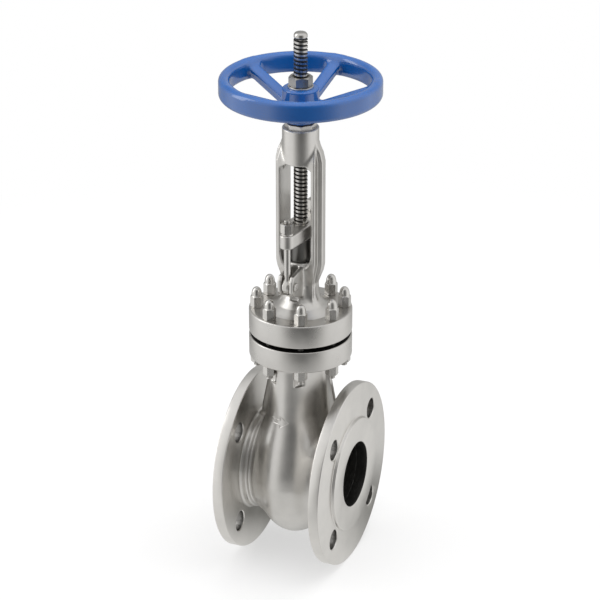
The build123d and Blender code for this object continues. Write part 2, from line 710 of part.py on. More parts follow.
with BuildPart() as stem_nut:
    with BuildSketch(Plane.XZ):
        with BuildLine():
            Polyline(
                (STEM_R + STEM_FIT, HEAD_Z[0] - 1),
                (SLEEVE_R, HEAD_Z[0] - 1),
                (SLEEVE_R, SLEEVE_FLANGE_Z[0]),
                (SLEEVE_FLANGE_R, SLEEVE_FLANGE_Z[0]),
                (SLEEVE_FLANGE_R, SLEEVE_FLANGE_Z[1]),
                (SLEEVE_R, SLEEVE_FLANGE_Z[1]),
                (SLEEVE_R, HUB_Z[1] - 1),
                (SLEEVE_THREAD_R, HUB_Z[1] - 0.5),
                (SLEEVE_THREAD_R, WHEEL_NUT_Z[1] - SLEEVE_RECESS),
                (STEM_R + STEM_FIT, WHEEL_NUT_Z[1] - SLEEVE_RECESS),
                close=True,
            )
        make_face()
    revolve(axis=Axis.Z)
    with BuildSketch(rest_plane(HUB_Z[0] + KEY_RISE)):
        with Locations((0, -SLEEVE_R)):
            Rectangle(KEY + KEY_FIT, KEY)
    extrude(amount=HUB_Z[1] - HUB_Z[0], mode=Mode.SUBTRACT)
finish(stem_nut.part, "stem_nut")

for low, name in (
    (SLEEVE_FLANGE_Z[0] - WASHER_T, "lower_thrust_washer"),
    (SLEEVE_FLANGE_Z[1] + 0.05, "upper_thrust_washer"),
):
    with BuildPart() as thrust_washer:
        with BuildSketch(rest_plane(low)):
            Circle(HEAD_BORE_R - 0.1)
            Circle(SLEEVE_R + 0.1, mode=Mode.SUBTRACT)
        extrude(amount=WASHER_T - 0.05)
    finish(thrust_washer.part, name)

with BuildPart() as yoke_retainer:
    with BuildSketch(rest_plane(SLEEVE_FLANGE_Z[1] + WASHER_T)):
        Circle(HEAD_BORE_R - 0.02)
    extrude(amount=HEAD_Z[1] - SLEEVE_FLANGE_Z[1] - WASHER_T)
    with BuildSketch(rest_plane(HEAD_Z[1])):
        RegularPolygon(RETAINER_AF / 2, 8, major_radius=False)
    extrude(amount=RETAINER_Z - HEAD_Z[1])
    with BuildSketch(rest_plane(SLEEVE_FLANGE_Z[1])):
        Circle(SLEEVE_R + 0.1)
    extrude(amount=RETAINER_Z - SLEEVE_FLANGE_Z[1], mode=Mode.SUBTRACT)
finish(yoke_retainer.part, "yoke_retainer")

# ---- Handwheel ----------------------------------------------------------------------------

with BuildPart() as spoke:
    # One dished spoke, from the hub up to the rim, with a wider top flange
    for half_width, drop in ((SPOKE_W / 2, SPOKE_DROP[0]), (SPOKE_W / 2 - 2, SPOKE_DROP[1])):
        with BuildSketch(Plane.XZ.offset(-half_width)):
            with BuildLine():
                Polyline(
                    (SLEEVE_R + 3, SPOKE_Z[0]),
                    (WHEEL_R - RIM_W + 3, SPOKE_Z[1]),
                    (WHEEL_R - RIM_W + 3, SPOKE_Z[1] - drop),
                    (SLEEVE_R + 3, SPOKE_Z[0] - drop),
                    close=True,
                )
            make_face()
        extrude(amount=2 * half_width)

with BuildPart() as handwheel:
    with BuildSketch(Plane.XZ):
        with Locations((WHEEL_R - RIM_W / 2, (RIM_Z[0] + RIM_Z[1]) / 2)):
            RectangleRounded(RIM_W, RIM_Z[1] - RIM_Z[0], RIM_CORNER)
    revolve(axis=Axis.Z)
    with BuildSketch(Plane.XZ):
        with BuildLine():
            Polyline(
                (0, HUB_Z[0]),
                (WHEEL_HUB_R - 2.5, HUB_Z[0]),
                (WHEEL_HUB_R, HUB_Z[0] + KEY_RISE),
                (WHEEL_HUB_R, HUB_Z[1] - 1.5),
                (WHEEL_HUB_R - 1.5, HUB_Z[1]),
                (0, HUB_Z[1]),
                close=True,
            )
        make_face()
    revolve(axis=Axis.Z)
    with PolarLocations(0, SPOKES, start_angle=SPOKE_START):
        add(spoke.part)
    with BuildSketch(rest_plane(HUB_Z[0])):
        Circle(SLEEVE_R + 0.03)
    extrude(amount=HUB_Z[1] - HUB_Z[0], mode=Mode.SUBTRACT)
    with BuildSketch(rest_plane(HUB_Z[0])):
        with Locations((0, -SLEEVE_R)):
            Rectangle(KEY + KEY_FIT, KEY + 2 * KEY_FIT)
    extrude(amount=HUB_Z[1] - HUB_Z[0], mode=Mode.SUBTRACT)
finish(handwheel.part, "handwheel")

with BuildPart() as handwheel_key:
    with BuildSketch(rest_plane(HUB_Z[0] + KEY_RISE)):
        with Locations((0, -SLEEVE_R)):
            Rectangle(KEY, KEY)
    extrude(amount=HUB_Z[1] - HUB_Z[0] - KEY_RISE - 1)
finish(handwheel_key.part, "handwheel_key")

with BuildPart() as handwheel_washer:
    with BuildSketch(rest_plane(HUB_Z[1])):
        Circle(WHEEL_NUT_AF / 2 + 2)
        Circle(SLEEVE_THREAD_R + 0.1, mode=Mode.SUBTRACT)
    extrude(amount=WHEEL_NUT_Z[0] - HUB_Z[1])
finish(handwheel_washer.part, "handwheel_washer")

with BuildPart() as handwheel_nut:
    with BuildSketch(rest_plane(WHEEL_NUT_Z[0])):
        RegularPolygon(WHEEL_NUT_AF / 2, 6, major_radius=False)
        Circle(SLEEVE_THREAD_R + 0.02, mode=Mode.SUBTRACT)
    extrude(amount=WHEEL_NUT_Z[1] - WHEEL_NUT_Z[0])
finish(handwheel_nut.part, "handwheel_nut")

wheel_turns = GATE_LIFT / THREAD_PITCH
print("wheel turns", wheel_turns, "degrees", 360 * wheel_turns)
print("lift per radian in metres", THREAD_PITCH / 1000 / (2 * pi))
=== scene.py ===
import json
from math import atan2, cos, hypot, pi, radians, sin, sqrt

import bmesh
import bpy
import numpy as np
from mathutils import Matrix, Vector


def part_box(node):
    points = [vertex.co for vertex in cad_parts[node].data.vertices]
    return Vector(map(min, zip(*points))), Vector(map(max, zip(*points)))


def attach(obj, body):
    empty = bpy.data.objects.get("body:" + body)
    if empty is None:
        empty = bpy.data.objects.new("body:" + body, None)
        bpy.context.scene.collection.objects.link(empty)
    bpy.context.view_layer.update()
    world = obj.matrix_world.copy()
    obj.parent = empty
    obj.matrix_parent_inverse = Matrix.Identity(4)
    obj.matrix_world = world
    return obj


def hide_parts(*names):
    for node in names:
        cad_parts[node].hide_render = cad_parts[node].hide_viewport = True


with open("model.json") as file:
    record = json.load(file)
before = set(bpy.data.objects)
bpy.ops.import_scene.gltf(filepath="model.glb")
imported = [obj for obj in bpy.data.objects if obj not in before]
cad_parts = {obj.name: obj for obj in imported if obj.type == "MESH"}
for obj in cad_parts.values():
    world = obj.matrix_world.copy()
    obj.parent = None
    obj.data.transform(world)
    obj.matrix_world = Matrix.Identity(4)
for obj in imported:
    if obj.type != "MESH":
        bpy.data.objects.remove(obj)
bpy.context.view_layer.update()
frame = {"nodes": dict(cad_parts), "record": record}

# Looks of the flanged gate valve. Shapes are worked out in millimetres in the part's own frame
# and written to meshes in metres: X along the pipe, Z up the stem, -Y the front.

MM = 0.001
WELD_GAP = 0.01 * MM


def level(node, axis, high):
    """One side of a CAD node's box, in millimetres."""
    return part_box(node)[1 if high else 0][axis] / MM


def span(node, axis=2):
    """Both sides of a CAD node's box along one axis, in millimetres."""
    return level(node, axis, False), level(node, axis, True)


# ---- Places that come from the frame ----

FACE_X = level("body", 0, True)
FLANGE_R = level("body", 1, True)
PORT_Z = FLANGE_R
BODY_TOP = level("body", 2, True)
BONNET_Z = level("bonnet_yoke", 2, False)
HEAD_TOP = level("bonnet_yoke", 2, True)
JOINT_R = level("bonnet_yoke", 0, True)
STEM_TOP = level("stem", 2, True)
STEM_FOOT = level("stem", 2, False)
WHEEL_R = level("handwheel", 0, True)
WHEEL_FOOT = level("handwheel", 2, False)
WHEEL_TOP = level("handwheel", 2, True)
WHEEL_NUT_Z = span("handwheel_nut")
WHEEL_WASHER_Z = span("handwheel_washer")
CAP_NUT_Z = span("bonnet_cap_nuts")
LOWER_NUT_Z = span("bonnet_lower_nuts")
STUD_FOOT = level("bonnet_studs", 2, False)
GLAND_Z = span("gland_flange")
GLAND_NUT_Z = span("gland_nuts")
GLAND_BUSH_Z = span("gland_bush")
EYEBOLT_TOP = level("gland_eyebolt_front", 2, True)
EYE_X = level("gland_eyebolt_front", 0, True)

# ---- Sizes of the casting, the same as in the solids ----

FLANGE_T = 12.5
FACE_R = 51.0
FACE_H = 3.0
BOLT_CIRCLE_R = 62.5
BOLT_HOLE_R = 9.0
PORT_R = 29.0
SEAT_R = (25.0, 30.0)
SEAT_X = 22.0
HUB_R = 45.0
GROOVE_R = 42.0
HUB_X = 33.0
GROOVE_X = 28.5
COLLAR_X = 18.0
BELLY = (37.5, 55.0, 62.0)
NECK = (24.0, 38.0)
NECK_SWELL = 0.30
GUSSET_HALF_T = 2.5
CAVITY = (14.5, 31.5)
CAVITY_CORNER = 11.0
JOINT_T = 19.5
JOINT_FACE_R = 36.0
JOINT_RELIEF = 0.3
JOINT_ROUND = (1.2, 1.5)
BONNET_PLATE_T = 21.0
STUDS = 8
STUD_CIRCLE_R = 38.0
STUD_R = 2.9
STUD_ROOT_R = 2.4
STUD_PITCH = 1.0
NUT_AF = 10.0
NUT_FACE = 0.97
NUT_SEGMENTS = 72
SPOT_FACE_R = 6.0
BOSS_Z = 240.5
BOX_R = 12.5
BOX_Z = 282.0
HEAD_R = 15.75
HEAD_FOOT = 372.0
STEM_R = 6.0
THREAD_ROOT_R = 5.0
THREAD_PITCH = 3.5
THREAD_FOOT = 318.0
STEM_HEAD = (9.0, 6.0)
STEM_TIP = 5.5
# The back seat collar: foot, full radius from, full radius to, top
COLLAR_Z = (164.7, 166.7, 172.4, 175.4)
COLLAR_R = 9.0
EYE_Y = 30.0
EYE_PIN_Z = 268.0
EYE_R = 6.0
EYE_PIN_R = 2.5
LUG_X = (3.5, 7.1)
RIM_W = 9.5
RIM_H = 18.0
SPOKES = 5
SPOKE_START = 11.0
SPOKE_ROOT = (12.0, 424.0)
SPOKE_RUN = 50.5
SPOKE_RISE = 19.5
WHEEL_HUB_R = (13.0, 15.5, 14.3)
WHEEL_BORE_R = 9.03
WHEEL_NUT_AF = 18.0
RETAINER_R = 13.5
RETAINER_BORE_R = 9.1
RETAINER_THREAD_R = 13.28
RETAINER_FLATS = 8
RETAINER_HALF_FLATS = 12.5
FLANGE_BACK = FACE_X - FLANGE_T
STEEL_ALBEDO = (0.635, 0.62, 0.595)
RINGS_PER_MM = 2.2

# Cell sizes of the castings' meshes
BODY_CELL = 1.15
BONNET_CELL = 0.75
GLAND_CELL = 0.7
EYEBOLT_CELL = 0.55
WHEEL_CELL = 1.0

# Edges sharper than this many degrees stay crisp
NUT_CREASE = 28
TURNED_CREASE = 35
THREAD_CREASE = 40

# ---- Signed distances, in millimetres, negative inside ----


def blend(a, b, reach):
    """Union of two solids with a fillet about as wide as reach."""
    h = np.clip(0.5 + 0.5 * (b - a) / reach, 0, 1)
    return b + (a - b) * h - reach * h * (1 - h)


def cut(a, b, reach=0.8):
    """a without b, with a small round on the new edge."""
    return -blend(-a, b, reach)


def slab(outline, across, half, edge=1.0):
    """An outline given depth: outline is its own distance, across the distance from mid depth."""
    a = outline + edge
    b = np.abs(across) - half + edge
    inner = np.minimum(np.maximum(a, b), 0)
    return inner + np.hypot(np.maximum(a, 0), np.maximum(b, 0)) - edge


def ellipse(x, y, a, b):
    near = np.hypot(x / a, y / b)
    slope = np.maximum(np.hypot(x / a ** 2, y / b ** 2), 1e-6)
    return near * (near - 1) / slope


def ellipsoid(x, y, z, sides):
    a, b, c = sides
    near = np.sqrt((x / a) ** 2 + (y / b) ** 2 + (z / c) ** 2)
    slope = np.maximum(np.sqrt((x / a ** 2) ** 2 + (y / b ** 2) ** 2 + (z / c ** 2) ** 2), 1e-6)
    return near * (near - 1) / slope


def polygon(x, y, corners):
    """Distance to a closed outline of straight sides."""
    nearest = np.full(np.shape(x), 1e9)
    inside = np.zeros(np.shape(x), bool)
    for (ax, ay), (bx, by) in zip(corners, corners[1:] + corners[:1]):
        ex, ey = bx - ax, by - ay
        t = np.clip(((x - ax) * ex + (y - ay) * ey) / (ex * ex + ey * ey), 0, 1)
        nearest = np.minimum(nearest, (x - ax - ex * t) ** 2 + (y - ay - ey * t) ** 2)
        if ey:
            inside ^= ((ay > y) != (by > y)) & (x < ex * (y - ay) / ey + ax)
    return np.where(inside, -1, 1) * np.sqrt(nearest)


def rounded_box(x, y, half_x, half_y, corner):
    qx = np.abs(x) - half_x + corner
    qy = np.abs(y) - half_y + corner
    inner = np.minimum(np.maximum(qx, qy), 0)
    return inner + np.hypot(np.maximum(qx, 0), np.maximum(qy, 0)) - corner


def link(x, y, length, near_r, far_r):
    """Hull of a circle at the origin and one at (0, length)."""
    x = np.abs(x)
    lean = (near_r - far_r) / length
    side = sqrt(1 - lean * lean)
    along = -lean * x + side * y
    flank = side * x + lean * y - near_r
    return np.where(along < 0, np.hypot(x, y) - near_r,
                    np.where(along > side * length, np.hypot(x, y - length) - far_r, flank))


# ---- Meshes ----


def add_object(name, data):
    """A new object, put in the scene."""
    made = bpy.data.objects.new(name, data)
    bpy.context.scene.collection.objects.link(made)
    return made


def new_object(name, points, faces, body, slot, materials, smooth_angle=None):
    """A mesh object from points in millimetres, riding on a body."""
    mesh = bpy.data.meshes.new(name)
    mesh.from_pydata((np.asarray(points) * MM).tolist(), [], [list(map(int, f)) for f in faces])
    mesh.validate()
    mesh.update()
    piece = add_object(name, mesh)
    for material in materials:
        mesh.materials.append(material)
    mesh.polygons.foreach_set("use_smooth", [True] * len(mesh.polygons))
    if smooth_angle:
        mesh.set_sharp_from_angle(angle=radians(smooth_angle))
    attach(piece, body)
    return piece


def surface_net(field, low, high, step):
    """Points and quads of a field's zero surface, one point in each cell it crosses."""
    axes = [np.arange(a - step, b + 2 * step, step) for a, b in zip(low, high)]
    values = field(*np.meshgrid(*axes, indexing="ij"))
    inside = values < 0
    cells = np.array(values.shape) - 1
    total = np.zeros((*cells, 3))
    count = np.zeros(cells)
    quads = []
    crossings = []
    for axis in range(3):
        here = [slice(None)] * 3
        there = [slice(None)] * 3
        here[axis] = slice(0, -1)
        there[axis] = slice(1, None)
        here, there = tuple(here), tuple(there)
        index = np.argwhere(inside[here] != inside[there])
        others = [a for a in range(3) if a != axis]
        rim = np.all((index[:, others] > 0) & (index[:, others] < cells[others]), axis=1)
        index = index[rim]
        a = values[here][tuple(index.T)]
        b = values[there][tuple(index.T)]
        point = index.astype(float)
        point[:, axis] += a / (a - b)
        around = []
        for du, dv in ((0, 0), (1, 0), (1, 1), (0, 1)):
            cell = index.copy()
            cell[:, others[0]] -= du
            cell[:, others[1]] -= dv
            np.add.at(total, tuple(cell.T), point)
            np.add.at(count, tuple(cell.T), 1)
            around.append(cell)
        crossings.append((around, (a < 0) != (axis == 1)))
    used = np.argwhere(count > 0)
    number = np.full(cells, -1)
    number[tuple(used.T)] = np.arange(len(used))
    points = total[tuple(used.T)] / count[tuple(used.T)][:, None]
    for around, forward in crossings:
        quad = np.stack([number[tuple(cell.T)] for cell in around], axis=1)
        quads.append(np.where(forward[:, None], quad, quad[:, ::-1]))
    start = np.array([axis[0] for axis in axes])
    points = start + points * step
    for _ in range(3):
        points = pull_to_surface(field, points, 0.6 * step)
    return points, np.concatenate(quads)


def pull_to_surface(field, points, limit):
    """One Newton step of each point towards the zero surface."""
    small = 0.02
    value = field(*points.T)
    slope = np.stack([
        field(*(points + small * np.eye(3)[a]).T) - field(*(points - small * np.eye(3)[a]).T)
        for a in range(3)
    ], axis=1) / (2 * small)
    size = np.maximum((slope ** 2).sum(1), 0.05)
    move = -(value / size)[:, None] * slope
    length = np.linalg.norm(move, axis=1)
    return points + move * np.minimum(1, limit / np.maximum(length, 1e-9))[:, None]


def second_material(piece, wanted):
    """Gives the piece's second material to the faces whose centres, in millimetres, are wanted."""
    centres = np.zeros(3 * len(piece.data.polygons))
    piece.data.polygons.foreach_get("center", centres)
    chosen = wanted(*(centres.reshape(-1, 3) / MM).T)
    piece.data.polygons.foreach_set("material_index", chosen.astype(int))


def cast_piece(name, field, low, high, step, materials, body="valve_body", slot="cast_stainless"):
    points, quads = surface_net(field, low, high, step)
    return new_object(name, points, quads, body, slot, materials)


def round_profile(corners, radius=0.6, steps=3):
    """An open outline whose inner corners are rounded, as a list of (radius, height)."""
    made = [corners[0]]
    for before, at, after in zip(corners, corners[1:], corners[2:]):
        to_before = Vector(before) - Vector(at)
        to_after = Vector(after) - Vector(at)
        reach = min(radius, 0.45 * to_before.length, 0.45 * to_after.length)
        start = Vector(at) + to_before.normalized() * reach
        end = Vector(at) + to_after.normalized() * reach
        for i in range(steps + 1):
            t = i / steps
            made.append(tuple((1 - t) ** 2 * start + 2 * t * (1 - t) * Vector(at) + t * t * end))
    made.append(corners[-1])
    return made


def lathe_mesh(profile, segments=96, shape=None):
    """Points and faces of an outline of (radius, height) turned about Z; shape bends the radii."""
    angles = np.arange(segments) * 2 * pi / segments
    rows = []
    for radius, height in profile:
        radii = np.full(segments, radius) if shape is None else shape(angles, radius, height)
        rows.append(np.stack([radii * np.cos(angles), radii * np.sin(angles),
                              np.full(segments, height)], axis=1))
    points = np.concatenate(rows)
    faces = []
    for row in range(len(profile) - 1):
        for i in range(segments):
            j = (i + 1) % segments
            a, b = row * segments, (row + 1) * segments
            faces.append((a + i, a + j, b + j, b + i))
    return points, faces


def close_caps(points, faces, segments):
    """Adds a centre point to each end of a turned mesh."""
    last = len(points) - segments
    ends = np.array([points[:segments].mean(0), points[last:].mean(0)])
    foot, top = len(points), len(points) + 1
    for i in range(segments):
        j = (i + 1) % segments
        faces.append((foot, j, i))
        faces.append((top, last + i, last + j))
    return np.concatenate([points, ends]), faces


def turned(name, corners, body, slot, materials, radius=0.5, segments=96, closed=True, axis="Z",
           centre=(0, 0, 0)):
    """A turned piece. closed joins the outline's end to its start, as for a ring."""
    profile = round_profile(corners, radius)
    if closed:
        profile = round_profile(corners[-1:] + corners + corners[:2], radius)[1:-1]
    points, faces = lathe_mesh(profile, segments)
    if not closed:
        points, faces = close_caps(points, faces, segments)
    if axis == "X":
        points = np.stack([points[:, 2], points[:, 0], points[:, 1]], axis=1)
    piece = new_object(name, points + np.array(centre), faces, body, slot, materials,
                       TURNED_CREASE)
    tidy_mesh(piece)
    return piece


def tidy_mesh(piece):
    """Welds doubled points and turns every face outwards."""
    mesh = bmesh.new()
    mesh.from_mesh(piece.data)
    bmesh.ops.remove_doubles(mesh, verts=mesh.verts, dist=WELD_GAP)
    bmesh.ops.recalc_face_normals(mesh, faces=mesh.faces)
    mesh.to_mesh(piece.data)
    mesh.free()


def repeated(parts, places):
    """Copies of a (points, faces) pair at several places, as one pair."""
    points, faces = parts
    all_points = [points + np.array(place) for place in places]
    all_faces = [tuple(i + n * len(points) for i in f) for n in range(len(places)) for f in faces]
    return np.concatenate(all_points), all_faces


def together(first, second):
    """Two (points, faces) pairs as one."""
    points, faces = first
    more_points, more_faces = second
    moved = [tuple(i + len(points) for i in f) for f in more_faces]
    return np.concatenate([points, more_points]), faces + moved


def hexagon(across_flats):
    """Shape function that trims turned radii to a hexagon."""
    def shape(angles, radius, height):
        from_flat = (angles + pi / 6) % (pi / 3) - pi / 6
        return np.minimum(radius, across_flats / 2 / np.cos(from_flat))
    return shape


def slope(start, end, rows=6):
    """Points of an outline along a straight chamfer, both ends included."""
    return [tuple(a + (b - a) * i / rows for a, b in zip(start, end)) for i in range(rows + 1)]


def hex_nut(across_flats, low, high, bore):
    """A hex nut with turned chamfers on both ends, and a countersunk bore at the top."""
    corner = across_flats / sqrt(3)
    flat = across_flats / 2
    face_r = flat * NUT_FACE
    chamfer = (corner - flat) * 0.62
    countersink = 0.5
    profile = [(bore, low)] + slope((face_r, low), (corner, low + chamfer))
    profile += slope((corner, high - chamfer), (face_r, high))
    profile += [(bore + countersink, high), (bore, high - countersink)]
    return lathe_mesh(profile, NUT_SEGMENTS, hexagon(across_flats))


def cap_nut(across_flats, low, hex_top, top):
    """A domed nut: a hexagon with a turned shoulder and a bullet nose on it."""
    corner = across_flats / sqrt(3)
    flat = across_flats / 2
    nose_r = flat - 0.45
    nose_foot = hex_top + 0.5
    shoulder = 1.1
    profile = [(flat * 0.6, low)] + slope((flat * NUT_FACE, low), (corner, low + 0.5))
    profile += slope((corner, hex_top - shoulder), (nose_r, hex_top))
    profile += [(nose_r * cos(a) ** 0.82, nose_foot + (top - nose_foot) * sin(a))
                for a in np.linspace(0, pi / 2 - 0.06, 12)]
    points, faces = lathe_mesh(profile, NUT_SEGMENTS, hexagon(across_flats))
    return close_caps(points, faces, NUT_SEGMENTS)


def thread_mesh(low, high, crest_r, root_r, pitch, hand=-1, segments=48, end_fade=1.0,
                foot_fade=1.0, end_r=None):
    """A threaded rod: rows run along the helix, so that its edges stay crisp."""
    phases = ((0.0, 0), (0.12, 0), (0.17, 0), (0.26, 1), (0.31, 1), (0.72, 1), (0.77, 1), (0.88, 0))
    turns = int((high - low) / pitch) + 3
    points = []
    end_r = root_r if end_r is None else end_r
    for i in range(segments + 1):
        angle = 2 * pi * i / segments
        for n in range(turns):
            for phase, crest in phases:
                z = low + (n - 1.5 + phase) * pitch + hand * pitch * i / segments
                z = min(max(z, low), high)
                radius = crest_r if crest else root_r
                near_top = min(max((high - z) / end_fade, 0), 1)
                near_foot = min(max((z - low) / foot_fade, 0), 1)
                radius = end_r + (radius - end_r) * near_top
                radius = crest_r + (radius - crest_r) * near_foot
                points.append((radius * cos(angle), radius * sin(angle), z))
    row = turns * len(phases)
    faces = [(i * row + k, (i + 1) * row + k, (i + 1) * row + k + 1, i * row + k + 1)
             for i in range(segments) for k in range(row - 1)]
    return np.array(points), faces


# ---- Materials ----


class Nodes:
    """A short hand for building one material's node tree."""

    def __init__(self, name):
        self.material = bpy.data.materials.new(name)
        self.material.use_nodes = True
        self.tree = self.material.node_tree
        self.shader = self.tree.nodes["Principled BSDF"]
        self.place = self.add("ShaderNodeTexCoord").outputs["Object"]

    def add(self, kind, **settings):
        node = self.tree.nodes.new(kind)
        for key, value in settings.items():
            setattr(node, key, value)
        return node

    def join(self, source, target):
        self.tree.links.new(source, target)

    def noise(self, scale, detail=3.0, place=None):
        node = self.add("ShaderNodeTexNoise")
        node.inputs["Scale"].default_value = scale
        node.inputs["Detail"].default_value = detail
        self.join(place or self.place, node.inputs["Vector"])
        return node.outputs["Fac"]

    def stretched(self, scales):
        node = self.add("ShaderNodeMapping")
        node.inputs["Scale"].default_value = scales
        self.join(self.place, node.inputs["Vector"])
        return node.outputs["Vector"]

    def remap(self, source, low, high, start=0.3, end=0.7):
        node = self.add("ShaderNodeMapRange")
        node.inputs["From Min"].default_value = start
        node.inputs["From Max"].default_value = end
        node.inputs["To Min"].default_value = low
        node.inputs["To Max"].default_value = high
        self.join(source, node.inputs["Value"])
        return node.outputs["Result"]

    def mix_colour(self, fac, low, high):
        node = self.add("ShaderNodeMix", data_type="RGBA")
        node.inputs["A"].default_value = (*low, 1)
        node.inputs["B"].default_value = (*high, 1)
        self.join(fac, node.inputs["Factor"])
        return node.outputs["Result"]

    def patch(self, scale, *fade, centre=(0, 0, 0)):
        """A round patch that fades outwards; fade holds what remap takes after its source."""
        gradient = self.add("ShaderNodeTexGradient", gradient_type="SPHERICAL")
        place = self.stretched((scale, scale, scale))
        place.node.inputs["Location"].default_value = centre
        self.join(place, gradient.inputs["Vector"])
        return self.remap(gradient.outputs["Fac"], *fade)

    def cover(self, source, fac, colour):
        """The source with a plain colour mixed over it."""
        node = self.add("ShaderNodeMix", data_type="RGBA")
        node.inputs["B"].default_value = colour
        self.join(fac, node.inputs["Factor"])
        self.join(source, node.inputs["A"])
        return node.outputs["Result"]

    def vary(self, fac, dark, light, roughness=None):
        """Colour, and roughness if it is given, that follow a noise."""
        colour = self.mix_colour(self.remap(fac, 0, 1), dark, light)
        self.join(colour, self.shader.inputs["Base Color"])
        if roughness:
            self.join(self.remap(fac, *roughness), self.shader.inputs["Roughness"])

    def bump(self, layers):
        """Height layers of (output, strength, distance in millimetres), the coarse ones first."""
        normal = None
        for height, strength, distance in layers:
            node = self.add("ShaderNodeBump")
            node.inputs["Strength"].default_value = strength
            node.inputs["Distance"].default_value = distance * MM
            self.join(height, node.inputs["Height"])
            if normal:
                self.join(normal, node.inputs["Normal"])
            normal = node.outputs["Normal"]
        self.join(normal, self.shader.inputs["Normal"])

    def set(self, **values):
        for key, value in values.items():
            self.shader.inputs[key.replace("_", " ")].default_value = value


def tint(colour, factor):
    return tuple(min(1.0, c * factor) for c in colour)


def cast_steel():
    """Blasted and pickled stainless casting."""
    made = Nodes("cast_stainless")
    made.set(Metallic=1.0)
    mottled = made.noise(55, 4)
    grain = made.noise(1400, 2)
    made.vary(mottled, tint(STEEL_ALBEDO, 0.90), tint(STEEL_ALBEDO, 1.03), (0.29, 0.38))
    made.bump([(mottled, 0.25, 0.12), (made.noise(420, 3), 0.45, 0.045), (grain, 0.30, 0.01)])
    return made.material


def turned_steel(name, axis, colour, roughness=(0.26, 0.34)):
    """Lathe-turned steel: fine rings round the axis, with a sheen that runs across them."""
    made = Nodes(name)
    made.set(Metallic=1.0, Anisotropic=0.55)
    centred = made.add("ShaderNodeMapping")
    if axis == "X":
        centred.inputs["Location"].default_value = (0, 0, -PORT_Z * MM)
    made.join(made.place, centred.inputs["Vector"])
    rings = made.add("ShaderNodeTexWave", wave_type="RINGS", rings_direction=axis)
    rings.inputs["Scale"].default_value = RINGS_PER_MM * 1000 / 20
    rings.inputs["Distortion"].default_value = 0.6
    rings.inputs["Detail"].default_value = 2
    rings.inputs["Detail Scale"].default_value = 3
    made.join(centred.outputs["Vector"], rings.inputs["Vector"])
    mottled = made.noise(70, 4)
    made.vary(mottled, tint(colour, 0.95), tint(colour, 1.04), roughness)
    made.bump([(rings.outputs["Fac"], 0.10, 0.02), (made.noise(900, 2), 0.15, 0.006)])
    tangent = made.add("ShaderNodeTangent", direction_type="RADIAL", axis=axis)
    made.join(tangent.outputs["Tangent"], made.shader.inputs["Tangent"])
    return made.material


def bright_steel(name, colour, roughness, scratches=0.2):
    """Bright fasteners: small scratches and handling marks. Darkened copies of it are painted
    shade.
    """
    made = Nodes(name)
    made.set(Metallic=1.0)
    marks = made.noise(260, 4, place=made.stretched((1, 1, 0.25)))
    made.vary(marks, tint(colour, 0.88), tint(colour, 1.05), roughness)
    made.bump([(marks, scratches, 0.03)])
    return made.material


def blue_paint():
    """Thick satin enamel over a rough casting."""
    made = Nodes("blue_paint")
    made.set(IOR=1.5, Specular_IOR_Level=0.1, Coat_Weight=1.0, Coat_Roughness=0.14, Coat_IOR=1.85)
    cloudy = made.noise(38, 3)
    peel = made.noise(330, 2)
    made.vary(cloudy, (0.0003, 0.088, 0.35), (0.0005, 0.104, 0.40), (0.30, 0.40))
    made.bump([(cloudy, 0.3, 0.25), (peel, 0.35, 0.05)])
    return made.material


def plain(name, colour, roughness, metallic=0.0):
    """Small and inner pieces: an even finish with a fine grain."""
    made = Nodes(name)
    made.set(Metallic=metallic)
    grain = made.noise(500, 3)
    made.vary(grain, tint(colour, 0.85), tint(colour, 1.1), (roughness - 0.05, roughness + 0.05))
    made.bump([(grain, 0.3, 0.03)])
    return made.material


CAST = cast_steel()
TURNED_X = turned_steel("turned_flange", "X", tint(STEEL_ALBEDO, 1.12), (0.28, 0.36))
TURNED_Z = turned_steel("turned_round", "Z", tint(STEEL_ALBEDO, 0.95))
FASTENER = bright_steel("bright_fastener", STEEL_ALBEDO, (0.20, 0.32))
STEM_STEEL = bright_steel("stem_bar", tint(STEEL_ALBEDO, 0.92), (0.12, 0.20), 0.1)
SEAT_STEEL = turned_steel("seat_face", "X", STEEL_ALBEDO, (0.15, 0.22))
BLUE = blue_paint()
# Painted shade: steel at 30% brightness for the gland sleeve, the stud shanks and the
# turned_stainless slot
DARK_STEEL = bright_steel("painted_shade_steel", tint(STEEL_ALBEDO, 0.30), (0.32, 0.45))
# Painted shade: fastener steel at 62% brightness, darkened for the dark blue wheel round it that
# the nut mirrors
DULL_STEEL = bright_steel("painted_nut_shade", tint(STEEL_ALBEDO, 0.62), (0.22, 0.34))
# Painted shade: steel at 10% brightness for the bore, the cavity, the joint gap faces and the
# stem's thread roots
BORE_STEEL = bright_steel("painted_deep_shade", tint(STEEL_ALBEDO, 0.10), (0.45, 0.6))
# Painted shade: steel at 40% brightness on the walls of the flange bolt holes
DRILLED_STEEL = bright_steel("painted_hole_shade", tint(STEEL_ALBEDO, 0.40), (0.3, 0.4))
BRONZE = plain("bronze", (0.55, 0.36, 0.15), 0.32, 1.0)
GRAPHITE = plain("graphite", (0.02, 0.02, 0.022), 0.6)

SLOT_MATERIALS = {
    "cast_stainless": CAST,
    "turned_stainless": DARK_STEEL,
    # The turned_stainless slot takes the painted shade steel
    "fastener_steel": FASTENER,
    "stem_steel": STEM_STEEL,
    "seat_alloy": SEAT_STEEL,
    "bronze": BRONZE,
    "graphite": GRAPHITE,
    "blue_paint": BLUE,
}


def finish_cad_nodes():
    """Gives every CAD node the procedural material of its slot."""
    for entry in frame["record"]["subparts"]:
        node = frame["nodes"][entry["node"]]
        material = SLOT_MATERIALS[entry["material_slot"]]
        node.data.materials.clear()
        node.data.materials.append(material)
        for face in node.data.polygons:
            face.material_index = 0


# ---- Body ----

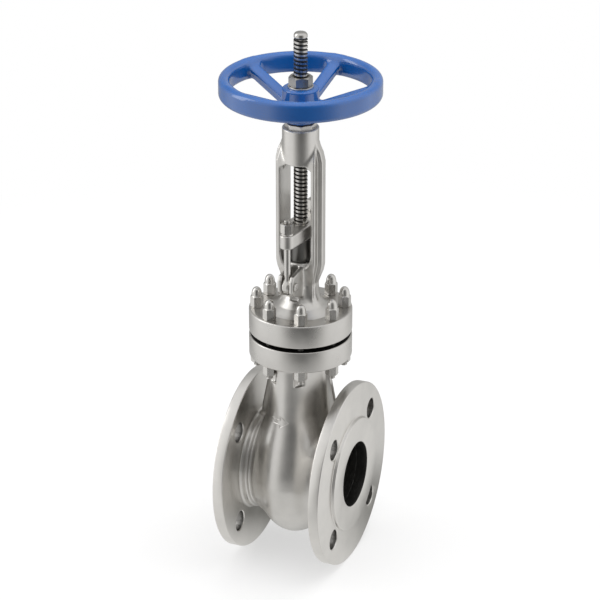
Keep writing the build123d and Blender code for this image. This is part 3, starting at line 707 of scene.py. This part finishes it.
ARROW_X = -3.5
ARROW_Z = 142.0
ARROW = [(-8.5, -2.0), (0.5, -2.0), (0.5, -5.4), (8.5, 0), (0.5, 5.4), (0.5, 2.0), (-8.5, 2.0)]
GUSSET = [(18, 194), (26, 194), (26, 187), (36, 136), (36, 122), (18, 122)]


def stud_places(z=0.0):
    angles = [radians(180 / STUDS + 360 / STUDS * k) for k in range(STUDS)]
    return [(STUD_CIRCLE_R * cos(a), STUD_CIRCLE_R * sin(a), z) for a in angles]


def gate_way(x, y, z):
    """The gate's way: a slot with rounded corners and a round foot, open at the top."""
    depth = np.where(z > PORT_Z, y, np.hypot(y, z - PORT_Z))
    return rounded_box(x, depth, *CAVITY, CAVITY_CORNER)


def body_field(x, y, z):
    """The casting between the flanges: belly, neck, port collars and gussets."""
    ax = np.abs(x)
    zc = z - PORT_Z
    r = np.hypot(y, zc)
    plan_r = np.hypot(x, y)
    joint_foot = BODY_TOP - JOINT_T
    neck_mid = (PORT_Z + joint_foot + 4) / 2
    shell = ellipsoid(x, y, zc, BELLY)
    swell = 1 + NECK_SWELL * np.clip((joint_foot - 8 - z) / (joint_foot - 8 - PORT_Z), 0, 1) ** 1.6
    neck = slab(ellipse(x / swell, y / swell, *NECK) * swell, z - neck_mid,
                joint_foot + 4 - neck_mid, 0.5)
    shell = blend(shell, neck, 14.0)
    # Under the joint flange the neck flares out, and ends inside the flange
    flare = blend(neck, joint_foot + 0.15 - z, 5.0)
    flare = np.maximum(flare, np.maximum(plan_r - JOINT_R + 2.5, z - joint_foot - 3))
    shell = np.minimum(shell, np.maximum(flare, joint_foot - 30 - z))
    # Collar, groove and hub ring, with a fillet to the back of the flange
    port = slab(r - GROOVE_R, ax, FLANGE_BACK + 2, 0.5)
    collar_half = (GROOVE_X - COLLAR_X) / 2 + 3
    port = blend(port, slab(r - HUB_R, ax - GROOVE_X + collar_half, collar_half, 2.4), 2.0)
    port = blend(port, slab(r - HUB_R, ax - FLANGE_BACK, FLANGE_BACK - HUB_X, 1.6), 1.5)
    port = blend(port, FLANGE_BACK + 0.15 - ax, 3.0)
    port = np.maximum(port, np.maximum(r - HUB_R - 4, ax - FLANGE_BACK - 3))
    shell = blend(shell, port, 6.0)
    shell = blend(shell, slab(polygon(ax, z, GUSSET), y, GUSSET_HALF_T, 1.2), 5.0)
    # Spot faces for the lower nuts
    for place_x, place_y, _ in stud_places():
        pocket = slab(np.hypot(x - place_x, y - place_y) - SPOT_FACE_R, z - joint_foot + 3,
                      STUD_R + joint_foot - LOWER_NUT_Z[0] + 3, 0.3)
        shell = cut(shell, pocket)
    # The gate's way and the bore, with the counterbores for the seats
    shell = cut(shell, gate_way(x, y, z), 1.0)
    bore = [(0, 0), (0, SEAT_R[1]), (SEAT_X, SEAT_R[1]), (SEAT_X, SEAT_R[0]), (HUB_X, PORT_R),
            (FACE_X + 9, PORT_R), (FACE_X + 9, -9), (0, -9)]
    return np.maximum(shell, -polygon(ax, r, bore))


def drill(piece, cutters):
    """Cuts each cutter out of the piece and deletes the cutters."""
    for cutter in cutters:
        modifier = piece.modifiers.new("cut", "BOOLEAN")
        modifier.operation = "DIFFERENCE"
        modifier.solver = "EXACT"
        modifier.object = cutter
    graph = bpy.context.evaluated_depsgraph_get()
    drilled = bpy.data.meshes.new_from_object(piece.evaluated_get(graph))
    piece.modifiers.clear()
    old = piece.data
    piece.data = drilled
    bpy.data.meshes.remove(old)
    for cutter in cutters:
        mesh = cutter.data
        bpy.data.objects.remove(cutter)
        bpy.data.meshes.remove(mesh)
    drilled.polygons.foreach_set("use_smooth", [True] * len(drilled.polygons))
    drilled.set_sharp_from_angle(angle=radians(TURNED_CREASE))


def end_flange(name, side):
    """One end flange with its raised face and four drilled holes; painted shade darkens its bore
    and its hole walls.
    """
    inner = FACE_X - FACE_H
    corners = [(PORT_R + 0.02, FLANGE_BACK + 1), (PORT_R + 0.02, FACE_X), (FACE_R, FACE_X),
               (FACE_R + 0.4, inner), (FLANGE_R, inner), (FLANGE_R, FLANGE_BACK),
               (GROOVE_R - 2, FLANGE_BACK), (GROOVE_R - 2, FLANGE_BACK + 1)]
    corners = [(radius, side * x) for radius, x in corners]
    piece = turned(name, corners, "valve_body", "cast_stainless", [TURNED_X], 0.9, 160, True, "X",
                   (0, 0, PORT_Z))
    cutters = []
    for k in range(4):
        angle = radians(45 + 90 * k)
        centre = (0, BOLT_CIRCLE_R * cos(angle), PORT_Z + BOLT_CIRCLE_R * sin(angle))
        flare = 0.7
        hole = [(BOLT_HOLE_R + flare + 2, FLANGE_BACK - 2), (BOLT_HOLE_R, FLANGE_BACK + flare),
                (BOLT_HOLE_R, inner - flare), (BOLT_HOLE_R + flare + 2, inner + 2)]
        cutters.append(turned("cutter", [(radius, side * x) for radius, x in hole], "valve_body",
                              "cast_stainless", [TURNED_X], 0.01, 48, False, "X", centre))
    drill(piece, cutters)
    piece.data.materials.clear()
    for material in (TURNED_X, BORE_STEEL, DRILLED_STEEL):
        piece.data.materials.append(material)
    # Painted shade: the bore faces take the deep shade steel, the bolt hole walls the hole shade
    # steel
    second_material(piece, lambda x, y, z: np.hypot(y, z - PORT_Z) < PORT_R + 0.4)
    hole_y = BOLT_CIRCLE_R * sin(pi / 4)
    for face in piece.data.polygons:
        _, y, z = face.center / MM
        from_hole = hypot(abs(y) - hole_y, abs(z - PORT_Z) - hole_y)
        if from_hole < BOLT_HOLE_R + 0.2 and abs(face.normal.x) < 0.3:
            face.material_index = 2
    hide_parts("body")


def in_bore(x, y, z):
    """True where a face of the casting belongs to its bore or its cavity; these faces get painted
    deep shade.
    """
    near = 0.3
    return (np.hypot(y, z - PORT_Z) < SEAT_R[1] + near) | (gate_way(x, y, z) < near)


def build_flow_arrow():
    """Raised outline of the flow arrow on the front of the neck, pointing to the outlet."""
    path = []
    for (u, v), (next_u, next_v) in zip(ARROW, ARROW[1:] + ARROW[:1]):
        steps = int(hypot(next_u - u, next_v - v) / 0.5)
        path += [(u + (next_u - u) * k / steps, v + (next_v - v) * k / steps) for k in range(steps)]
    path = np.array(path)
    along = np.roll(path, -1, 0) - np.roll(path, 1, 0)
    outward = np.stack([along[:, 1], -along[:, 0]], 1) / np.linalg.norm(along, axis=1)[:, None]
    section = [(-0.65, -0.4), (-0.45, 0.35), (0.0, 0.5), (0.45, 0.35), (0.65, -0.4)]
    rows = np.stack([path + outward * offset for offset, _ in section], 1).reshape(-1, 2)
    x, z = ARROW_X + rows[:, 0], ARROW_Z + rows[:, 1]
    near, far = np.full(len(x), -BELLY[1] - 5.0), np.full(len(x), -10.0)
    for _ in range(24):
        middle = (near + far) / 2
        outside = body_field(x, middle, z) > 0
        near, far = np.where(outside, middle, near), np.where(outside, far, middle)
    height = np.tile([rise for _, rise in section], len(path))
    points = np.stack([x, near - height, z], 1)
    n = len(section)
    faces = [(n * row + k, n * row + (k + 1) % n, n * next_row + (k + 1) % n, n * next_row + k)
             for row in range(len(path)) for next_row in [(row + 1) % len(path)] for k in range(n)]
    band = new_object("flow_arrow", points, faces, "valve_body", "cast_stainless", [CAST], 50)
    tidy_mesh(band)
    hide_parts("body")


def in_joint(face_z, rim_r):
    """Picks the faces of a joint flange that look into the gap of the joint, which get painted deep
    shade.
    """
    return lambda x, y, z: (np.abs(z - face_z) < JOINT_RELIEF + 0.1) & (np.hypot(x, y) < rim_r)


def build_body():
    foot = BODY_TOP - JOINT_T
    across, reach = FLANGE_BACK + 3, BELLY[1] + 1
    casting = cast_piece("body_casting", body_field, (-across, -reach, PORT_Z - BELLY[2] - 1),
                         (across, reach, foot + 3.5), BODY_CELL, [CAST, BORE_STEEL])
    # Painted shade: the bore and cavity faces take the deep shade steel
    second_material(casting, in_bore)
    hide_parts("body")
    build_flow_arrow()
    end_flange("inlet_flange", -1)
    end_flange("outlet_flange", 1)
    joint = turned("joint_flange_lower",
                   [(CAVITY[1], foot + 1), (CAVITY[1], BODY_TOP), (JOINT_FACE_R, BODY_TOP),
                    (JOINT_FACE_R, BODY_TOP - JOINT_RELIEF), (JOINT_R, BODY_TOP - JOINT_RELIEF),
                    (JOINT_R, foot), (CAVITY[1], foot)],
                   "valve_body", "cast_stainless", [TURNED_Z, BORE_STEEL], JOINT_ROUND[0],
                   128)
    # Painted shade in the joint gap on the lower flange
    second_material(joint, in_joint(BODY_TOP, JOINT_R - JOINT_ROUND[0]))
    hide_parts("body")


# ---- Bonnet and yoke ----

ARM_PLATE = [(8, 243), (14, 243), (14, 262), (17.5, 282), (17.5, 374), (15.2, 390), (8, 390),
             (8, 372), (14, 368), (14, 290), (12, 281), (8, 276)]
ARM_PLAN = [(-8, 243), (8, 243), (8, 262), (12.5, 282), (12.5, 374), (3.2, 391), (-3.2, 391),
            (-12.5, 374), (-12.5, 282), (-8, 262)]
ARM_RIB = [(12, 243), (15, 243), (15, 256), (15.6, 262), (20.3, 274), (21.5, 280), (21.5, 374),
           (19.7, 382), (15.7, 390.5), (12, 390.5), (12, 367), (15, 362), (15, 286), (12, 264)]
LUG = [(8, 280), (32.5, 278), (35.5, 274), (35.5, 264), (32.5, 260), (10.5, 251), (8, 251)]
# Bores of the bonnet, as radius, foot and top: stem, packing, yoke head, retainer
BONNET_BORES = ((STEM_R + 0.4, 230, 253), (9.6, 252, 290), (9.3, 365, 381), (13.3, 381, 410))
DOME = [(0, 230), (31.5, 230), (31.5, 236.6), (28, 238.2), (21.5, 242), (17, 246.5), (14, 251),
        (12.5, 258), (0, 258)]


def bonnet_field(x, y, z):
    """Boss, dome, stuffing box, yoke arms, yoke head and eyebolt lugs in one casting."""
    ax, ay = np.abs(x), np.abs(y)
    r = np.hypot(x, y)
    shell = polygon(r, z, DOME)
    box_mid = (BOX_Z + BOSS_Z) / 2
    shell = blend(shell, slab(r - BOX_R, z - box_mid, BOX_Z - box_mid, 0.9), 3.0)
    plate = slab(polygon(ax, z, ARM_PLATE), y, 12.5, 0.8)
    plate = -blend(-plate, -polygon(y, z, ARM_PLAN), 1.2)
    rib = slab(polygon(ax, z, ARM_RIB), y, 4.5, 1.6)
    arm = blend(plate, rib, 1.5)
    head_mid = (HEAD_TOP + HEAD_FOOT) / 2
    head = slab(r - HEAD_R, z - head_mid, HEAD_TOP - head_mid, 0.9)
    shell = blend(shell, arm, 4.0)
    shell = blend(shell, head, 1.8)
    shell = blend(shell, slab(polygon(ay, z, LUG), ax - sum(LUG_X) / 2,
                              (LUG_X[1] - LUG_X[0]) / 2, 0.9), 2.5)
    fork = np.maximum(ax - LUG_X[0] + 0.1, BOX_R + 1.5 - ay)
    shell = cut(shell, np.maximum(fork, np.abs(z - EYE_PIN_Z) - 20), 0.6)
    for radius, low, high in BONNET_BORES:
        mid = (low + high) / 2
        shell = cut(shell, np.maximum(r - radius, np.abs(z - mid) - high + mid), 0.6)
    return shell


def build_bonnet():
    top = BONNET_Z + BONNET_PLATE_T
    casting = cast_piece("bonnet_casting", bonnet_field, (-33, -37, top - 3),
                         (33, 37, HEAD_TOP + 1), BONNET_CELL, [CAST])
    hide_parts("bonnet_yoke")
    flange = turned("joint_flange_upper",
                    [(16, BONNET_Z), (16, top), (JOINT_R, top), (JOINT_R, BONNET_Z + JOINT_RELIEF),
                     (JOINT_FACE_R, BONNET_Z + JOINT_RELIEF), (JOINT_FACE_R, BONNET_Z)],
                    "valve_body", "cast_stainless", [TURNED_Z, BORE_STEEL], JOINT_ROUND[1], 128)
    # Painted shade in the joint gap on the upper flange
    second_material(flange, in_joint(BONNET_Z, JOINT_R - JOINT_ROUND[1]))
    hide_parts("bonnet_yoke")


# ---- Bonnet fasteners ----


def fastener(name, parts, crease, body="valve_body", material=FASTENER):
    """A piece of fastener steel from a (points, faces) pair."""
    return new_object(name, *parts, body, "fastener_steel", [material], crease)


def build_joint_fasteners():
    hex_top = CAP_NUT_Z[0] + 10.75
    places = stud_places()
    cap = cap_nut(NUT_AF, CAP_NUT_Z[0], hex_top, CAP_NUT_Z[1])
    caps = fastener("cap_nuts", repeated(cap, places), NUT_CREASE)
    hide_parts("bonnet_cap_nuts")
    nuts = fastener("lower_nuts", repeated(hex_nut(NUT_AF, *LOWER_NUT_Z, STUD_R - 0.2), places),
                    NUT_CREASE)
    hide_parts("bonnet_lower_nuts")
    thread = thread_mesh(STUD_FOOT, LOWER_NUT_Z[0] + 4, STUD_R, STUD_ROOT_R, STUD_PITCH, 1, 24)
    ends = fastener("stud_ends", repeated(thread, places), THREAD_CREASE)
    tidy_mesh(ends)
    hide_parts("bonnet_studs")
    core_r = STUD_ROOT_R - 0.05
    foot, top = STUD_FOOT + 0.2, CAP_NUT_Z[0] + 5
    shank = lathe_mesh(round_profile([(0.5, foot), (core_r, foot), (core_r, LOWER_NUT_Z[0] + 2),
                                      (STUD_R, LOWER_NUT_Z[0] + 3), (STUD_R, top),
                                      (0.5, top)], 0.3), 24)
    # Painted shade: the stud shanks take the darkened steel
    shanks = fastener("stud_shanks", repeated(close_caps(*shank, 24), places), THREAD_CREASE,
                      material=DARK_STEEL)
    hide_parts("bonnet_studs")


# ---- Gland ----


def gland_field(x, y, z):
    ay = np.abs(y)
    mid = sum(GLAND_Z) / 2
    plate = slab(link(x, ay, EYE_Y, 11.5, 6.5), z - mid, GLAND_Z[1] - mid, 1.1)
    plate = cut(plate, np.hypot(x, y) - STEM_R - 0.5)
    return cut(plate, np.hypot(x, ay - EYE_Y) - STUD_R - 0.35, 0.5)


def eyebolt_field(bolt_y):
    def field(x, y, z):
        v = y - bolt_y
        eye = slab(np.hypot(v, z - EYE_PIN_Z) - EYE_R, x, EYE_X, 1.8)
        shank_foot = EYE_PIN_Z + 2
        mid = (shank_foot + EYEBOLT_TOP - 9) / 2
        shank = slab(np.hypot(x, v) - STUD_R, z - mid, mid - shank_foot, 0.3)
        bolt = blend(eye, shank, 2.5)
        return cut(bolt, np.hypot(v, z - EYE_PIN_Z) - EYE_PIN_R - 0.05, 0.5)
    return field


def build_gland():
    plate = cast_piece("gland_plate", gland_field, (-12, -37, GLAND_Z[0] - 0.5),
                       (12, 37, GLAND_Z[1] + 0.5), GLAND_CELL, [CAST])
    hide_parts("gland_flange")
    foot, top = GLAND_BUSH_Z
    bore_r, sleeve_r, rim_r = STEM_R + 0.06, 9.45, 10.7
    # Painted shade: the sleeve under the gland takes the darkened steel
    bush = turned("gland_sleeve", [(bore_r, foot), (sleeve_r, foot), (sleeve_r, top - 3),
                                   (rim_r, top - 2), (rim_r, top), (bore_r, top)],
                  "valve_body", "turned_stainless", [DARK_STEEL], 0.3)
    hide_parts("gland_bush")
    places = [(0, -EYE_Y, 0), (0, EYE_Y, 0)]
    for place, name in zip(places, ("gland_eyebolt_front", "gland_eyebolt_rear")):
        y = place[1]
        bolt = cast_piece(name + "_forging", eyebolt_field(y),
                          (-4, y - 7, EYE_PIN_Z - 7), (4, y + 7, EYEBOLT_TOP - 8), EYEBOLT_CELL,
                          [FASTENER], slot="fastener_steel")
        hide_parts(name)
        foot = EYEBOLT_TOP - 20
        thread = thread_mesh(foot, EYEBOLT_TOP, STUD_R, STUD_ROOT_R, STUD_PITCH, 1, 28)
        core = close_caps(*lathe_mesh(round_profile(
            [(0.4, foot), (STUD_ROOT_R, foot), (STUD_ROOT_R, EYEBOLT_TOP - 0.1),
             (0.4, EYEBOLT_TOP)], 0.3), 28), 28)
        end = fastener(name + "_thread", repeated(together(thread, core), [place]), THREAD_CREASE)
        tidy_mesh(end)
        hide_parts(name)
    nuts = fastener("gland_hex_nuts", repeated(hex_nut(NUT_AF, *GLAND_NUT_Z, STUD_R - 0.2), places),
                    NUT_CREASE)
    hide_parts("gland_nuts")
    washer = lathe_mesh(round_profile([(STUD_R, GLAND_Z[1]), (5.5, GLAND_Z[1]),
                                       (5.5, GLAND_NUT_Z[0]), (STUD_R, GLAND_NUT_Z[0])], 0.3), 48)
    washers = fastener("gland_plain_washers", repeated(washer, places), TURNED_CREASE)
    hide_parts("gland_washers")
    low, high = span("gland_pins", 0)
    head_r, head = EYE_PIN_R + 1.3, high - 1.8
    for number, (_, y, _) in enumerate(places, 1):
        pin = turned("gland_pin_" + str(number),
                     [(0.3, low), (EYE_PIN_R, low), (EYE_PIN_R, head), (head_r, head),
                      (head_r, high), (0.3, high)],
                     "valve_body", "fastener_steel", [FASTENER], 0.5, 40, False, "X",
                     (0, y, EYE_PIN_Z))
        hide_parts("gland_pins")


# ---- Stem and handwheel ----


def build_stem():
    """Ground bar with a left-hand trapezoidal thread and a plain rounded tip."""
    thread_top = STEM_TOP - STEM_TIP + 1
    thread = thread_mesh(THREAD_FOOT - 2, thread_top, STEM_R, THREAD_ROOT_R, THREAD_PITCH, -1, 64,
                         1.2, 3.0, THREAD_ROOT_R)
    head_r, head_t = STEM_HEAD
    core_r, tip_r = THREAD_ROOT_R - 0.05, STEM_R - 0.15
    bar_profile = round_profile([
        (0.5, STEM_FOOT), (head_r, STEM_FOOT), (head_r, STEM_FOOT + head_t),
        (STEM_R, STEM_FOOT + head_t), (STEM_R, COLLAR_Z[0]), (COLLAR_R, COLLAR_Z[1]),
        (COLLAR_R, COLLAR_Z[2]), (STEM_R, COLLAR_Z[3]), (STEM_R, THREAD_FOOT - 1.5),
        (core_r, THREAD_FOOT), (core_r, thread_top - 0.2), (tip_r, thread_top + 0.2),
        (tip_r, STEM_TOP - 1.8), (STEM_R - 1.6, STEM_TOP), (0.5, STEM_TOP)], 0.8)
    bar = close_caps(*lathe_mesh(bar_profile, 64), 64)
    stem = new_object("stem_bar", *together(thread, bar), "stem_gate", "stem_steel",
                      [STEM_STEEL, BORE_STEEL], 32)
    tidy_mesh(stem)
    # Painted shade: the thread roots take the deep shade steel
    second_material(stem, lambda x, y, z: (np.hypot(x, y) < STEM_R - 0.25) & (z > THREAD_FOOT)
                    & (z < thread_top))
    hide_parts("stem")


def wheel_field(x, y, z):
    r = np.hypot(x, y)
    rim_mid = WHEEL_TOP - RIM_H / 2
    rim = rounded_box(r - WHEEL_R + RIM_W / 2, z - rim_mid, RIM_W / 2, RIM_H / 2, 4.2)
    foot_r, hub_r, top_r = WHEEL_HUB_R
    hub_top = WHEEL_WASHER_Z[0]
    hub = polygon(r, z, [(-5, WHEEL_FOOT), (foot_r, WHEEL_FOOT), (hub_r, WHEEL_FOOT + 6),
                         (hub_r, hub_top - 1), (top_r, hub_top), (-5, hub_top)])
    step = 2 * pi / SPOKES
    angle = (np.arctan2(y, x) - radians(SPOKE_START) + step / 2) % step - step / 2
    along = r * np.cos(angle)
    across = r * np.sin(angle)
    drop = z - (SPOKE_ROOT[1] + (along - SPOKE_ROOT[0]) * SPOKE_RISE / SPOKE_RUN)
    top = rounded_box(across, drop + 2.2, 5.5, 2.2, 1.6)
    web = rounded_box(across, drop + 5, 3.5, 5.0, 1.6)
    spoke = blend(top, web, 1.5) * cos(atan2(SPOKE_RISE, SPOKE_RUN))
    spoke = np.maximum(spoke, np.maximum(8 - along, along - WHEEL_R + 6))
    wheel = blend(blend(spoke, rim, 5.0), hub, 4.0)
    return cut(wheel, r - WHEEL_BORE_R)


def build_handwheel():
    reach = WHEEL_R + 1
    wheel = cast_piece("handwheel_casting", wheel_field, (-reach, -reach, WHEEL_FOOT - 1),
                       (reach, reach, WHEEL_TOP + 1), WHEEL_CELL, [BLUE], "handwheel_set",
                       "blue_paint")
    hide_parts("handwheel")
    # Painted shade: the hub nut takes the darkened fastener steel
    nut = fastener("wheel_hex_nut", hex_nut(WHEEL_NUT_AF, *WHEEL_NUT_Z, 7.2), NUT_CREASE,
                   "handwheel_set", DULL_STEEL)
    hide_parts("handwheel_nut")
    inner, outer = 7.9, 11.0
    low, high = WHEEL_WASHER_Z
    washer = turned("wheel_washer", [(inner, low), (outer, low), (outer, high), (inner, high)],
                    "handwheel_set", "fastener_steel", [FASTENER], 0.4)
    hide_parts("handwheel_washer")


def build_retainer():
    """Ring nut that closes the yoke head; its flats start at the top of the head."""
    def flats(angles, radius, height):
        if height <= HEAD_TOP:
            return 0 * angles + radius
        half = pi / RETAINER_FLATS
        from_flat = (angles + half) % (2 * half) - half
        return np.minimum(radius, RETAINER_HALF_FLATS / np.cos(from_flat))
    foot, top = span("yoke_retainer")
    profile = round_profile([(RETAINER_BORE_R, foot), (RETAINER_THREAD_R, foot),
                             (RETAINER_THREAD_R, HEAD_TOP), (RETAINER_R, HEAD_TOP + 0.05),
                             (RETAINER_R, top - 0.8), (RETAINER_R - 0.8, top),
                             (RETAINER_BORE_R + 0.5, top), (RETAINER_BORE_R, top - 0.5),
                             (RETAINER_BORE_R, foot)], 0.25)
    points, faces = lathe_mesh(profile, 96, flats)
    ring = new_object("retainer_ring", points, faces, "valve_body", "turned_stainless",
                      [TURNED_Z], 25)
    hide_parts("yoke_retainer")


# ---- Stage, light and camera ----

VIEW_AZIMUTH = 22.3
VIEW_ELEVATION = 24.3
VIEW_DISTANCE = 2.2
VIEW_LENS = 152.2
VIEW_TARGET = (-0.0006, 0.0, 0.2425)
LAMPS_AIM_Z = 0.24
FLOOR_HALF = 8.0
# Studio brightness round the valve: 0.5 is the camera's side, 0.25 its left, 0.75 its right
SURROUND = ((0.00, 0.45), (0.10, 0.30), (0.17, 0.60), (0.27, 1.90), (0.36, 1.25), (0.42, 0.32),
            (0.50, 0.08), (0.59, 0.22), (0.66, 1.00), (0.74, 1.85), (0.81, 0.90), (0.88, 0.55),
            (1.00, 0.45))


def outward(azimuth, elevation):
    """Unit vector away from the valve; azimuth 0 is its front."""
    a, e = radians(azimuth), radians(elevation)
    return Vector((sin(a) * cos(e), -cos(a) * cos(e), sin(e)))


def build_camera():
    back = outward(VIEW_AZIMUTH, VIEW_ELEVATION)
    data = bpy.data.cameras.new("camera")
    data.lens = VIEW_LENS
    data.sensor_width = 36.0
    data.clip_end = 50
    camera = add_object("camera", data)
    camera.location = Vector(VIEW_TARGET) + back * VIEW_DISTANCE
    camera.rotation_euler = back.to_track_quat("Z", "Y").to_euler()
    bpy.context.scene.camera = camera


def surround(tree, vector):
    """Brightness of the studio by direction: dark behind the camera, bright to both sides."""
    turn = tree.nodes.new("ShaderNodeMapping")
    turn.inputs["Rotation"].default_value = (0, 0, radians(90 - VIEW_AZIMUTH))
    tree.links.new(vector, turn.inputs["Vector"])
    around = tree.nodes.new("ShaderNodeTexGradient")
    around.gradient_type = "RADIAL"
    tree.links.new(turn.outputs["Vector"], around.inputs["Vector"])
    ramp = tree.nodes.new("ShaderNodeValToRGB")
    ramp.color_ramp.interpolation = "B_SPLINE"
    tree.links.new(around.outputs["Fac"], ramp.inputs["Fac"])
    while len(ramp.color_ramp.elements) < len(SURROUND):
        ramp.color_ramp.elements.new(0.5)
    for element, (position, value) in zip(ramp.color_ramp.elements, SURROUND):
        element.position = position
        element.color = (value, value, value * 0.985, 1)
    return ramp.outputs["Color"]


def build_floor():
    """A white floor that glows evenly, mixed by the valve with a lit floor so that its real shadows
    show softly. Other rays see a painted glow instead: the studio's brightness by direction, a
    painted pale pool round the valve and a painted shadow behind it, which the steel reflects.
    """
    mesh = bpy.data.meshes.new("floor")
    corners = [(-1, -1), (1, -1), (1, 1), (-1, 1)]
    mesh.from_pydata([(x * FLOOR_HALF, y * FLOOR_HALF, 0) for x, y in corners], [], [(0, 1, 2, 3)])
    floor = add_object("floor", mesh)
    made = Nodes("pale_floor")
    made.set(Roughness=0.6)
    made.vary(made.noise(3), (0.90, 0.90, 0.90), (0.92, 0.92, 0.92))
    lit = made.add("ShaderNodeEmission")
    lit.inputs["Color"].default_value = (1, 1, 1, 1)
    shade = made.add("ShaderNodeMixShader")
    made.join(made.patch(1.1, 0.0, 0.46, 0.0, 0.45), shade.inputs["Fac"])
    made.join(lit.outputs["Emission"], shade.inputs[1])
    made.join(made.shader.outputs["BSDF"], shade.inputs[2])
    # Painted light in the glow other rays see: the studio surround, with a painted pale pool round
    # the valve
    table = made.cover(surround(made.tree, made.place), made.patch(1.6, 0.0, 1.0, 0.05, 0.85),
                       (0.82, 0.82, 0.81, 1))
    # Painted shadow behind the valve, in the glow that the steel reflects
    behind = made.patch(7, 0.0, 0.9, 0.0, 0.5, centre=(0.14, -0.77, 0))
    reflected = made.add("ShaderNodeEmission")
    made.join(made.cover(table, behind, (0.12, 0.12, 0.11, 1)), reflected.inputs["Color"])
    seen = made.add("ShaderNodeLightPath")
    choose = made.add("ShaderNodeMixShader")
    made.join(seen.outputs["Is Camera Ray"], choose.inputs["Fac"])
    made.join(reflected.outputs["Emission"], choose.inputs[1])
    made.join(shade.outputs["Shader"], choose.inputs[2])
    made.join(choose.outputs["Shader"], made.tree.nodes["Material Output"].inputs["Surface"])
    mesh.materials.append(made.material)


def area_light(name, azimuth, elevation, distance, size, power, mirrored=False):
    data = bpy.data.lights.new(name, "AREA")
    data.shape = "RECTANGLE"
    data.size, data.size_y = size
    data.energy = power
    lamp = add_object(name, data)
    out = outward(azimuth, elevation)
    lamp.location = Vector((0, 0, LAMPS_AIM_Z)) + out * distance
    lamp.rotation_euler = out.to_track_quat("Z", "Y").to_euler()
    lamp.visible_glossy = mirrored


def build_world():
    world = bpy.data.worlds.new("studio")
    bpy.context.scene.world = world
    world.use_nodes = True
    tree = world.node_tree
    place = tree.nodes.new("ShaderNodeTexCoord").outputs["Generated"]
    height = tree.nodes.new("ShaderNodeSeparateXYZ")
    tree.links.new(place, height.inputs["Vector"])
    rise = tree.nodes.new("ShaderNodeMapRange")
    rise.inputs["From Min"].default_value = 0.55
    rise.inputs["From Max"].default_value = 0.85
    tree.links.new(height.outputs["Z"], rise.inputs["Value"])
    ceiling = tree.nodes.new("ShaderNodeMix")
    ceiling.data_type = "RGBA"
    ceiling.inputs["B"].default_value = (0.95, 0.95, 0.95, 1)
    tree.links.new(rise.outputs["Result"], ceiling.inputs["Factor"])
    tree.links.new(surround(tree, place), ceiling.inputs["A"])
    seen = tree.nodes.new("ShaderNodeLightPath")
    reflected = tree.nodes["Background"]
    tree.links.new(ceiling.outputs["Result"], reflected.inputs["Color"])
    plain_white = tree.nodes.new("ShaderNodeBackground")
    plain_white.inputs["Color"].default_value = (1, 1, 1, 1)
    choose = tree.nodes.new("ShaderNodeMixShader")
    tree.links.new(seen.outputs["Is Camera Ray"], choose.inputs["Fac"])
    tree.links.new(reflected.outputs["Background"], choose.inputs[1])
    tree.links.new(plain_white.outputs["Background"], choose.inputs[2])
    tree.links.new(choose.outputs["Shader"], tree.nodes["World Output"].inputs["Surface"])
    bpy.context.scene.view_settings.view_transform = "Standard"


build_camera()
build_floor()
build_world()
area_light("key_soft", 110, 62, 1.8, (1.5, 1.5), 10)
area_light("left_soft", -70, 25, 1.5, (0.6, 1.6), 5, True)
area_light("top_fill", 0, 90, 2.0, (2.0, 2.0), 15)
finish_cad_nodes()
build_body()
build_bonnet()
build_joint_fasteners()
build_gland()
build_stem()
build_handwheel()
build_retainer()
